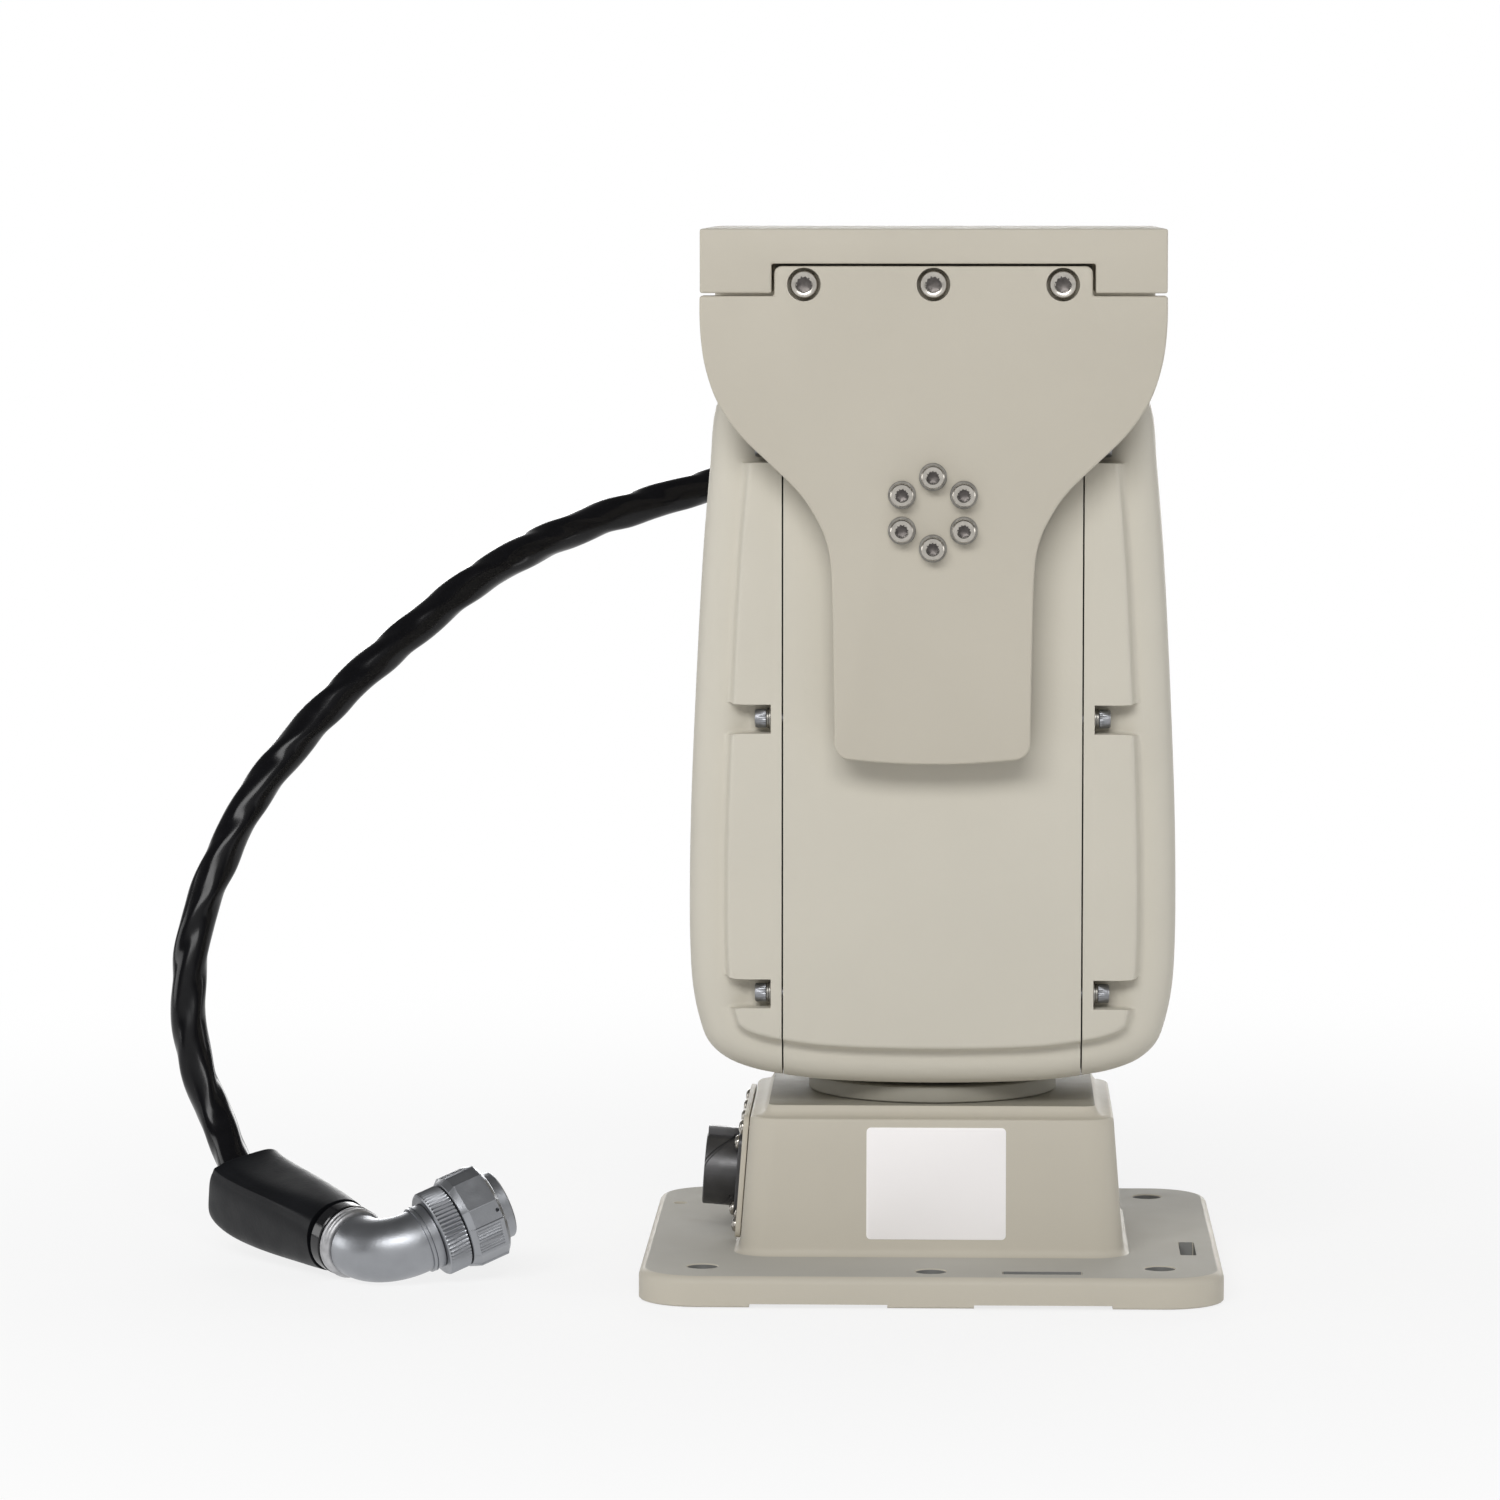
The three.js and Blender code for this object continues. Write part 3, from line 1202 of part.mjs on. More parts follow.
function make_plate() {
  let body = box(-plate_half_width, plate_half_width, -arm_outer_y, arm_outer_y, plate_bottom_z, plate_top_z);
  const channel = arm_tab_half + plate_arm_gap;
  body = cut(body, box(-channel, channel, -arm_outer_y - overrun, arm_outer_y + overrun,
    plate_bottom_z - overrun, channel_z));
  const rib_out = arm_inner_y - gap;
  for (const side of [-1, 1]) {
    body = join(body, box(-arm_tab_half, arm_tab_half, side * (rib_out - plate_rib_thickness), side * rib_out,
      channel_z - plate_rib_depth, channel_z + gap));
    body = cut(body, ...screw_holes(plate_screw_places(side), m6_shank, m6_height + plate_screw_length, small_sides));
    for (const y of [-1, 1]) {
      body = cut(body, rod('z', payload_hole_radius, plate_top_z - payload_hole_depth, plate_top_z + overrun,
        side * payload_hole_half_spacing, y * payload_hole_half_spacing, 16));
    }
  }
  return body;
}

piece(bracket, 'top_plate', make_plate(), paint);
piece(bracket, 'front_arm', make_arm(-1), paint);
piece(bracket, 'rear_arm', make_arm(1), paint);
for (const [name, s] of both_ends) {
  copies(plate_screw(), plate_screw_places(s)).forEach((screw, i) =>
    piece(bracket, `${name}_plate_screw_${i + 1}`, screw, stainless));
}

// Cable gland in the middle of the rear arm, clear of the hub screws' heads
const gland_y = arm_outer_y + washer_thickness + m5_height + 3 * gap;
const gland_nut_y = gland_y + gland_hex_length + gap;
const gland_end_y = gland_nut_y + gland_nut_length + gland_dome_length;
piece(bracket, 'cable_gland', join(
  rod('y', gland_neck_radius, arm_inner_y - gland_neck_reach, gland_y + gap, tilt_z, 0),
  rod('y', gland_hex_radius, gland_y, gland_y + gland_hex_length, tilt_z, 0, 6)), nickel);
piece(bracket, 'gland_nut', join(
  rod('y', gland_nut_radius, gland_nut_y, gland_nut_y + gland_nut_length, tilt_z, 0, 6),
  turned('y', [
    [0, gland_nut_y + gland_nut_length - gap],
    [gland_nut_radius - gland_nut_chamfer, gland_nut_y + gland_nut_length - gap],
    [gland_nut_radius - gland_nut_chamfer, gland_nut_y + gland_nut_length + gap],
    [gland_dome_radius, gland_end_y],
    [0, gland_end_y],
  ], tilt_z, 0)), nickel);

// Elbow plug: the boot's way in and out, and the coupling's way up from the floor
const boot_in = unit(0.45, -0.65, -0.61).normalize();
const boot_down = unit(0.613, -0.773, -0.16).normalize();
const boot_face = unit(0.795, 0.551, 0.257).normalize();
const coupling_up = unit(0.85, 0.39, 0.345).normalize();
const elbow_dip = elbow_bend_radius * (1 - Math.sqrt(1 - boot_down.z ** 2));
const boot_entry = unit(boot_entry_x, boot_entry_y, boot_entry_z);
const boot_exit = unit(boot_exit_x, boot_exit_y, elbow_radius + 2 * gap + elbow_dip
  - boot_down.z * (plug_ring_length + 2 * gap + elbow_lead));
const elbow_start = boot_exit.clone().addScaledVector(boot_down, plug_ring_length + 2 * gap);
const half_bend = Math.acos(boot_down.dot(coupling_up)) / 2;
const elbow_corner = elbow_start.clone().addScaledVector(boot_down,
  elbow_lead + elbow_bend_radius * Math.tan(half_bend));
const elbow_end = elbow_corner.clone().addScaledVector(coupling_up, elbow_bend_radius * Math.tan(half_bend));

function facing_frame(origin, direction) {
  const turn = new THREE.Quaternion().setFromUnitVectors(unit(0, 0, 1), direction);
  return new THREE.Matrix4().compose(origin, turn, unit(1, 1, 1));
}

// A round bar bent along a path
function bent_bar(path, radius, sides, steps) {
  const ring = new THREE.Shape(Array.from({ length: sides }, (_, i) => new THREE.Vector2(
    radius * Math.cos(i * 2 * Math.PI / sides), radius * Math.sin(i * 2 * Math.PI / sides))));
  return solid(new THREE.ExtrudeGeometry(ring, { steps, extrudePath: path, bevelEnabled: false }));
}

function make_elbow() {
  const centre_way = new THREE.Vector3().subVectors(coupling_up, boot_down).normalize();
  const centre = elbow_corner.clone().addScaledVector(centre_way, elbow_bend_radius / Math.cos(half_bend));
  const points = [elbow_start];
  for (let i = 0; i <= elbow_steps; i++) {
    const angle = (i / elbow_steps * 2 - 1) * half_bend;
    const sideways = new THREE.Vector3().addVectors(boot_down, coupling_up).normalize();
    points.push(centre.clone()
      .addScaledVector(centre_way, -elbow_bend_radius * Math.cos(angle))
      .addScaledVector(sideways, elbow_bend_radius * Math.sin(angle)));
  }
  points.push(elbow_end.clone().addScaledVector(coupling_up, elbow_tail));
  const bar = bent_bar(new THREE.CatmullRomCurve3(points), elbow_radius, elbow_sides, elbow_steps + 3);
  const collar_share = 0.9;
  const collar = moved(rod('z', elbow_collar_radius, elbow_tail * (1 - collar_share), elbow_tail * collar_share),
    facing_frame(elbow_end, coupling_up));
  return join(bar, collar);
}

// The boot tapers from a blunt square end, where the cable goes in, to a round one at the elbow
function make_boot() {
  const bend = new THREE.CubicBezierCurve3(boot_entry, boot_entry.clone().addScaledVector(boot_in, boot_lead_in),
    boot_exit.clone().addScaledVector(boot_down, -boot_lead_out), boot_exit);
  // Place along the boot and half side, as shares of the length and of the body's radius, and the section's
  // exponent: 1 is a circle, 0 a square
  const taper_shares = [[0, 0.86, 0.6], [0.03, 0.96, 0.57], [0.09, 1, 0.55], [0.35, 0.97, 0.56], [0.62, 0.93, 0.62],
    [0.84, 0.9, 0.78]];
  const rings = taper_shares.map(([t, share, exponent]) => boot_ring(bend.getPoint(t), bend.getTangent(t),
    share * boot_body_radius, exponent));
  rings.push(boot_ring(boot_exit, boot_down, boot_exit_radius, 1));
  return loft(rings);
}

// A ring of the boot, with one of its flat faces turned towards boot_face
function boot_ring(at, direction, half_side, exponent) {
  const deep_way = boot_face.clone().addScaledVector(direction, -direction.dot(boot_face)).normalize();
  const wide_way = new THREE.Vector3().crossVectors(direction, deep_way);
  return Array.from({ length: boot_sides }, (_, i) => {
    const angle = i * 2 * Math.PI / boot_sides;
    const [c, d] = [Math.cos(angle), Math.sin(angle)];
    return at.clone().addScaledVector(wide_way, half_side * Math.sign(c) * Math.abs(c) ** exponent)
      .addScaledVector(deep_way, half_side * Math.sign(d) * Math.abs(d) ** exponent);
  });
}

// A toothed bar along local Z, for knurls and nuts
function toothed_bar(radius, groove, teeth, from, to) {
  const points = Array.from({ length: 2 * teeth }, (_, i) => {
    const angle = i * Math.PI / teeth;
    const r = i % 2 === 0 ? radius : radius - groove;
    return [r * Math.cos(angle), r * Math.sin(angle)];
  });
  return slab_xy(points, from, to);
}

const coupling_frame = facing_frame(elbow_end, coupling_up);
const knurl_from = elbow_tail + gap;
const nut_from = knurl_from + knurl_length + gap;
const lip_from = nut_from + nut_length + gap;
const barrel_end = lip_from + barrel_lip_length;

function make_plug_barrel() {
  const body = join(rod('z', barrel_core_radius, nut_from, lip_from + gap),
    rod('z', barrel_lip_radius, lip_from, barrel_end));
  return moved(cut(body, rod('z', barrel_bore, barrel_end - barrel_recess, barrel_end + overrun)), coupling_frame);
}

function make_plug_nut() {
  const hex_corner_share = 1 / Math.cos(Math.PI / 12);
  const prism = rod('z', nut_radius * hex_corner_share, nut_from, nut_from + nut_length, 0, 0, 12);
  const round = turned('z', [
    [0, nut_from], [nut_radius - nut_chamfer, nut_from], [nut_radius * hex_corner_share, nut_from + nut_chamfer],
    [nut_radius * hex_corner_share, nut_from + nut_length - nut_chamfer],
    [nut_radius - nut_chamfer, nut_from + nut_length], [0, nut_from + nut_length],
  ]);
  const bore = rod('z', barrel_core_radius + gap, nut_from - overrun, nut_from + nut_length + overrun);
  return moved(cut(prism.intersect(round), bore), coupling_frame);
}

piece(head, 'plug_boot', make_boot(), black_rubber);
piece(head, 'plug_clamp_ring', moved(rod('z', plug_ring_radius, gap, gap + plug_ring_length),
  facing_frame(boot_exit, boot_down)), nickel);
piece(head, 'plug_elbow', make_elbow(), nickel);
piece(head, 'plug_back_ring', moved(toothed_bar(knurl_radius, knurl_groove, knurl_teeth, knurl_from,
  knurl_from + knurl_length), coupling_frame), nickel);
piece(head, 'plug_barrel', make_plug_barrel(), nickel);
piece(head, 'plug_coupling_nut', make_plug_nut(), nickel);

// Payload cable: out of the gland, round behind the head, and down to the plug
const cable_route = [
  [0, 112, 283.3], [0, 128, 283.3], [-6.5, 147, 283.2], [-23, 163, 283], [-48, 169.5, 282.8], [-85.5, 166, 281.9],
  [-106.6, 158, 276.6], [-141.3, 138, 265.6], [-174.9, 112, 249.1], [-201.7, 95, 228.3], [-225.6, 79, 207.4],
  [-244.4, 67, 187.1], [-260.9, 57, 165.2], [-272.5, 48.5, 141.4], [-278.8, 43, 123.7], [-282.1, 38.5, 103.5],
  [-282.1, 35, 83.9], [-278.6, 32, 66.2], [-272.7, 28.5, 51], [-268.3, 24, 43.1],
];

function cable_path() {
  const points = [
    unit(0, gland_end_y + gap, tilt_z),
    ...cable_route.map(([x, y, z]) => unit(x, y, z)),
    boot_entry.clone().addScaledVector(boot_in, -cable_radius),
    boot_entry.clone().addScaledVector(boot_in, -gap),
  ];
  return new THREE.CatmullRomCurve3(points, false, 'centripetal');
}

piece(head, 'payload_cable', bent_bar(cable_path(), cable_radius, cable_sides, cable_steps), black_sleeve);

export default model;
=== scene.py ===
# %% [markdown]
# # A remote pan tilt head
# A bolted base carries a tall body that turns on it, and a yoke with a payload plate tilts on the body.
# The CAD frame says where every piece goes. This lesson gives each of them its real surface: rounded
# castings, screws with sockets, a knurled plug and a sleeved cable.

# %% The frame
from contextlib import contextmanager
from math import acos, atan2, cos, pi, radians, sin, sqrt, tan

import bpy
from mathutils import Matrix, Vector, noise


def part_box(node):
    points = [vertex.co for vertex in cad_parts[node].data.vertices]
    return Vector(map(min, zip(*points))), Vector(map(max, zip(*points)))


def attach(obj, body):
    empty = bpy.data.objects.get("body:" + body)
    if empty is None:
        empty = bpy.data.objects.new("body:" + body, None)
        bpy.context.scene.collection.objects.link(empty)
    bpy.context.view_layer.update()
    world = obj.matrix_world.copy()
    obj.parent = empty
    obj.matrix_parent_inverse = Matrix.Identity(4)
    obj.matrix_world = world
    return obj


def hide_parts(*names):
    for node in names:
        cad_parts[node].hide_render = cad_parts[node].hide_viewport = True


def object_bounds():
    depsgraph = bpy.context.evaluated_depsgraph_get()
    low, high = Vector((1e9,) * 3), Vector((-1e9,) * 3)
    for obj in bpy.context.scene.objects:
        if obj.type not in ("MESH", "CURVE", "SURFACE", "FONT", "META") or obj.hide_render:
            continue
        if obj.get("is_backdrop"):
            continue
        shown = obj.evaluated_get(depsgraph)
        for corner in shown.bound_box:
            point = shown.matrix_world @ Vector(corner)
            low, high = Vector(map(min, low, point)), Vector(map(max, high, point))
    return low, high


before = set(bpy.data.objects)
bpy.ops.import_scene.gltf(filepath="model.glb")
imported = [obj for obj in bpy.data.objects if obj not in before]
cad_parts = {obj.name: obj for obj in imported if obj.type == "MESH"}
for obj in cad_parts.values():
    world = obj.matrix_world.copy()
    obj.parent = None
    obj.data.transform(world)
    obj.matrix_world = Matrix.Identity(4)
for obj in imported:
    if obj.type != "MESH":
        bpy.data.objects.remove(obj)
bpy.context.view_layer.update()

# %% [markdown]
# ## The camera
# The photograph was taken with a long lens at about the plate's height, a little to the right. The
# flange's vanishing points gave the height and the distance, and both angles and the lens were then
# fitted to the edges of the head and the base.

# %% Camera
bpy.ops.object.select_all(action="DESELECT")
camera_place, camera_pitch, camera_turn = (0.009, -2.3755, 0.401), 84.9483, 1.857
bpy.ops.object.camera_add(location=camera_place, rotation=(radians(camera_pitch), 0, radians(camera_turn)))
camera = bpy.context.object
camera.name = "photo_camera"
camera.data.lens = 154.13
camera.data.sensor_width = 36
camera.data.clip_end = 30
bpy.context.scene.camera = camera
print("camera lens", camera.data.lens, "mm")

# %% [markdown]
# ## Modelling helpers
# Sizes are written in millimetres, as on a drawing, and turned into metres here. Nearly every piece is a
# grid wrapped over rings, a profile spun about its axis, or an outline extruded to a depth.

# %% Millimetres, ways and circles
leftward, rearward, upward = (-1, 0, 0), (0, 1, 0), (0, 0, 1)
four_corners = ((1, 1), (-1, 1), (-1, -1), (1, -1))
floor_centre = Vector((0, 0, 0))


def mm(x, y, z):
    return Vector((x, y, z)) * 0.001


def polar(radius, angle, z):
    return mm(radius * cos(angle), radius * sin(angle), z)


def round_angles(count):
    return [2 * pi * i / count for i in range(count)]


def circle_round(at, side, up, radius, count):
    return [at + (side * cos(a) + up * sin(a)) * radius * 0.001 for a in round_angles(count)]


# %% Selecting, editing and welding
weld_distance = 0.000002


def select_only(piece):
    bpy.ops.object.select_all(action="DESELECT")
    piece.select_set(True)
    bpy.context.view_layer.objects.active = piece


@contextmanager
def editing(piece):
    select_only(piece)
    bpy.ops.object.mode_set(mode="EDIT")
    bpy.ops.mesh.select_all(action="SELECT")
    yield
    bpy.ops.object.mode_set(mode="OBJECT")


def weld(piece):
    with editing(piece):
        bpy.ops.mesh.remove_doubles(threshold=weld_distance)
        bpy.ops.mesh.delete_loose()
        bpy.ops.mesh.select_all(action="SELECT")
        bpy.ops.mesh.normals_make_consistent(inside=False)
    return piece


# %% A start from a primitive whose points are then moved to their places
def started(name, places, add, **settings):
    bpy.ops.object.select_all(action="DESELECT")
    add(**settings)
    piece = bpy.context.object
    piece.name = piece.data.name = name
    piece.data.vertices.foreach_set("co", [c for p in places for c in p])
    return piece


# %% A grid wrapped over rings of points
def wrapped(name, rings, ends=True):
    places = [p for ring in rings for p in [*ring, ring[0]]]
    piece = started(name, places, bpy.ops.mesh.primitive_grid_add, x_subdivisions=len(rings[0]),
                    y_subdivisions=len(rings) - 1, size=1)
    weld(piece)
    if ends:
        with editing(piece):
            bpy.ops.mesh.fill_holes(sides=0)
            bpy.ops.mesh.select_all(action="SELECT")
            bpy.ops.mesh.normals_make_consistent(inside=False)
    return piece


# %% A closed profile spun about an axis
def spun(name, profile, origin=floor_centre, axis=upward, steps=96):
    along = Vector(axis).normalized()
    out = along.orthogonal().normalized()
    places = [origin + along * a * 0.001 + out * r * 0.001 for a, r in profile]
    piece = started(name, places, bpy.ops.mesh.primitive_circle_add, vertices=len(profile), radius=0.01)
    with editing(piece):
        bpy.ops.mesh.spin(steps=steps, angle=2 * pi, center=origin, axis=along)
    return weld(piece)


# %% An outline extruded to a depth
def extruded(name, outline, depth):
    piece = started(name, outline, bpy.ops.mesh.primitive_circle_add, vertices=len(outline), radius=0.01,
                    fill_type="NGON")
    with editing(piece):
        bpy.ops.mesh.extrude_region_move(TRANSFORM_OT_translate={"value": depth})
    return weld(piece)


def block(name, low, high):
    corners = [mm(x, y, low[2]) for x, y in
               [(low[0], low[1]), (high[0], low[1]), (high[0], high[1]), (low[0], high[1])]]
    return extruded(name, corners, mm(0, 0, high[2] - low[2]))


# %% Modifiers that are applied at once
def modified(piece, kind, **settings):
    select_only(piece)
    modifier = piece.modifiers.new(kind.title(), kind)
    for setting, value in settings.items():
        setattr(modifier, setting, value)
    bpy.ops.object.modifier_apply(modifier=modifier.name)
    return piece


def rounded_off(piece, width, segments, angle):
    return modified(piece, "BEVEL", width=width * 0.001, segments=segments, limit_method="ANGLE",
                    angle_limit=radians(angle), use_clamp_overlap=True)


def combined(piece, operation, *others):
    for other in others:
        modified(piece, "BOOLEAN", object=other, operation=operation, solver="EXACT")
        bpy.data.objects.remove(other)
    return piece


def cut_away(piece, *cutters):
    return combined(piece, "DIFFERENCE", *cutters)


def built_on(piece, *additions):
    return combined(piece, "UNION", *additions)


def joined(piece, *others):
    select_only(piece)
    for other in others:
        other.select_set(True)
    bpy.ops.object.join()
    return piece


def smooth(piece, angle=35):
    select_only(piece)
    bpy.ops.object.shade_smooth_by_angle(angle=radians(angle))
    return piece


def copied(piece, name, matrix=None):
    twin = piece.copy()
    twin.data = piece.data.copy()
    twin.name = twin.data.name = name
    bpy.context.scene.collection.objects.link(twin)
    if matrix is not None:
        twin.data.transform(matrix)
        if matrix.determinant() < 0:
            twin.data.flip_normals()
    return twin


# %% Handing a finished piece to its body
def settle(piece, body, finish, slot, *nodes, angle=35):
    smooth(piece, angle)
    piece.data.materials.clear()
    piece.data.materials.append(finish)
    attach(piece, body)
    if nodes:
        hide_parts(*nodes)
    print(piece.name, "rides", body, "with", len(piece.data.polygons), "faces")
    return piece


# %% Smooth curves through chosen points
def curve_through(points, steps, closed=False):
    points = [Vector(p) for p in points]
    before = points[-1] if closed else points[0] * 2 - points[1]
    after = points[:2] if closed else [points[-1] * 2 - points[-2]]
    chain = [before, *points, *after]
    found = []
    for i in range(1, len(chain) - 2):
        a, b, c, d = chain[i - 1:i + 3]
        t0, t1, t2 = (max((q - p).length, 1e-9) ** 0.5 for p, q in ((a, b), (b, c), (c, d)))
        m1 = ((b - a) / t0 - (c - a) / (t0 + t1) + (c - b) / t1) * t1
        m2 = ((c - b) / t1 - (d - b) / (t1 + t2) + (d - c) / t2) * t1
        for k in range(steps):
            s = k / steps
            found.append((2 * s ** 3 - 3 * s ** 2 + 1) * b + (s ** 3 - 2 * s ** 2 + s) * m1
                         + (3 * s ** 2 - 2 * s ** 3) * c + (s ** 3 - s ** 2) * m2)
    if not closed:
        found.append(points[-1])
    return found


def evenly(points, spacing):
    lengths = [0.0]
    for p, q in zip(points, points[1:]):
        lengths.append(lengths[-1] + (q - p).length)
    count = max(2, round(lengths[-1] / spacing))
    found, i = [], 0
    for k in range(count + 1):
        target = lengths[-1] * k / count
        while i < len(points) - 2 and lengths[i + 1] < target:
            i += 1
        share = (target - lengths[i]) / max(lengths[i + 1] - lengths[i], 1e-12)
        found.append(points[i].lerp(points[i + 1], min(share, 1)))
    return found, lengths[-1]


def frames_along(points, start_side):
    found = []
    side = Vector(start_side)
    for i, p in enumerate(points):
        way = (points[min(i + 1, len(points) - 1)] - points[max(i - 1, 0)]).normalized()
        side = (side - way * side.dot(way)).normalized()
        found.append((p, way, side, way.cross(side)))
    return found


# %% [markdown]
# ## Finishes
# Each finish is one Principled shader with its own small irregularities: a faint tint, an uneven gloss and
# a fine relief, all read from Object coordinates so that they have their real scale. The paint is a satin
# enamel with a slight orange peel. On the level faces of the base and on the turntable collar it is rougher
# and painted darker, as painted shade, and the holes, slots and screw sockets get dark metal as painted
# shade. Bare metal is a shade uneven, as turning and plating leave it. Only the sleeve has no relief and
# reads its UV map, so that its streaks run along the cable.

# %% Nodes and their sockets
def set_sockets(node, **values):
    for socket, value in values.items():
        node.inputs[socket.replace("_", " ")].default_value = value
    return node


def add_node(tree, kind, **values):
    return set_sockets(tree.nodes.new("ShaderNode" + kind), **values)


def ranged(tree, value, from_min, from_max, to_min, to_max, ease="LINEAR"):
    node = add_node(tree, "MapRange", From_Min=from_min, From_Max=from_max, To_Min=to_min, To_Max=to_max)
    node.interpolation_type = ease
    tree.links.new(value, node.inputs["Value"])
    return node.outputs["Result"]


# %% A finish with tint, gloss and relief
grain_range = (0.3, 0.7)


def finish(name, colour, gloss, metallic=0.0, tint=0.04, tint_scale=25, relief=0.00002, relief_scale=900,
           stretch=(1, 1, 1), coat=0.0, gloss_scale=120, from_uv=False, shine=0.5):
    material = bpy.data.materials.new(name)
    material.use_nodes = True
    tree = material.node_tree
    shader = set_sockets(tree.nodes["Principled BSDF"], Metallic=metallic, Specular_IOR_Level=shine,
                         Coat_Weight=coat, Coat_Roughness=0.1)
    place = add_node(tree, "TexCoord")
    turn = add_node(tree, "Mapping", Scale=stretch)
    tree.links.new(place.outputs["UV" if from_uv else "Object"], turn.inputs["Vector"])

    def grain(scale, detail):
        node = add_node(tree, "TexNoise", Scale=scale, Detail=detail)
        tree.links.new(turn.outputs["Vector"], node.inputs["Vector"])
        return node.outputs["Fac"]

    mix = add_node(tree, "Mix")
    mix.data_type = "RGBA"
    set_sockets(mix, A=(*[c * (1 - tint) for c in colour], 1),
                B=(*[min(1, c * (1 + tint)) for c in colour], 1))
    tree.links.new(ranged(tree, grain(tint_scale, 2), *grain_range, 0, 1), mix.inputs["Factor"])
    tree.links.new(mix.outputs["Result"], shader.inputs["Base Color"])
    tree.links.new(ranged(tree, grain(gloss_scale, 3), *grain_range, *gloss), shader.inputs["Roughness"])
    if relief:
        bump = add_node(tree, "Bump", Distance=relief)
        tree.links.new(grain(relief_scale, 2), bump.inputs["Height"])
        tree.links.new(bump.outputs["Normal"], shader.inputs["Normal"])
    return material


# %% The finishes of this head
def enamel(name, colour, gloss, tint=0.02, tint_scale=14, shine=0.25):
    return finish(name, colour, gloss, tint=tint, tint_scale=tint_scale, relief=0.00003, relief_scale=700,
                  shine=shine)


def metal(name, colour, gloss, tint, tint_scale, **surface):
    return finish(name, colour, gloss, metallic=1, tint=tint, tint_scale=tint_scale, **surface)


paint = enamel("beige_enamel", (0.550, 0.510, 0.427), (0.48, 0.58))
pale_paint = enamel("pale_beige_enamel", (0.625, 0.590, 0.505), (0.48, 0.58))
# The deck's enamel is darker than the castings' paint: painted shade under the body.
painted_shade_deck = enamel("painted_shade_deck_enamel", (0.30, 0.283, 0.235), (0.55, 0.68), 0.05, 40, 0.35)
# The flange's level faces get a rougher enamel that is painted darker and greyer: painted shade on level
# faces.
painted_shade_flange = enamel("painted_shade_rough_flange_enamel", (0.472, 0.456, 0.412), (0.70, 0.80), 0.03, 14, 0.12)
# Bare metal for the walls of holes and slots, painted dark: painted shade inside the holes.
painted_shade_bare_metal = finish("painted_shade_bare_metal", (0.24, 0.24, 0.23), (0.5, 0.6), metallic=0.4, tint=0.1)
stainless = metal("stainless_steel", (0.45, 0.425, 0.385), (0.20, 0.32), 0.10, 500, relief=0.00001,
                  relief_scale=2200)
# A dark steel for the walls of screw sockets: painted shade in the socket.
socket_shade = metal("painted_shade_socket_steel", (0.11, 0.10, 0.095), (0.35, 0.5), 0.2, 600)
zinc_steel = metal("zinc_plated_steel", (0.27, 0.275, 0.29), (0.36, 0.48), 0.2, 500)
washer_steel = metal("washer_steel", (0.24, 0.23, 0.21), (0.34, 0.46), 0.2, 500)
ground_steel = metal("ground_steel", (0.50, 0.51, 0.52), (0.18, 0.26), 0.06, 400)
satin_nickel = metal("satin_nickel", (0.33, 0.34, 0.36), (0.34, 0.44), 0.06, 90, relief=0.00003,
                     relief_scale=1300)
cast_nickel = metal("cast_nickel", (0.46, 0.46, 0.47), (0.42, 0.58), 0.18, 260, relief=0.00012,
                    relief_scale=700)
bronze = metal("machined_bronze", (0.50, 0.31, 0.12), (0.3, 0.42), 0.12, 200)
raw_aluminium = metal("machined_aluminium", (0.50, 0.51, 0.52), (0.32, 0.46), 0.08, 60, relief_scale=500,
                      stretch=(1, 8, 1))
dark_shell = finish("gunmetal_shell", (0.075, 0.074, 0.076), (0.32, 0.45), metallic=0.6, tint=0.12,
                    tint_scale=150, relief_scale=1500)
rubber = finish("moulded_rubber", (0.007, 0.0075, 0.009), (0.38, 0.48), tint=0.2, tint_scale=60,
                relief=0.00004, shine=0.14)
glossy_black = finish("glossy_black_collar", (0.006, 0.006, 0.007), (0.12, 0.2), tint=0.2, relief_scale=600,
                      shine=0.4)
black_plastic = finish("black_plastic", (0.02, 0.02, 0.022), (0.4, 0.5), tint=0.15, relief_scale=1200)
green_board = finish("green_board", (0.02, 0.12, 0.05), (0.3, 0.4), tint=0.25, tint_scale=220, coat=0.3)
sticker_paper = finish("blank_sticker", (0.97, 0.94, 0.93), (0.42, 0.5), tint=0.01, relief=0.00001,
                       relief_scale=1500)
sleeve = finish("glossy_sleeve", (0.004, 0.004, 0.005), (0.15, 0.23), tint=0.2, tint_scale=6, relief=0,
                stretch=(2.0, 20, 1), gloss_scale=5, from_uv=True, shine=0.22)
print("finishes", len(bpy.data.materials))

# %% [markdown]
# ## The payload cable
# A glossy black sleeve is pulled over a twisted bundle of wires. It leaves the gland behind the yoke,
# loops down beside the head and ends in the boot of an elbow plug, so its length is what the photograph
# shows. The route is a smooth curve through chosen points, and rings of a soft three-lobed section turn
# along it, which gives the bundle's slow twist.

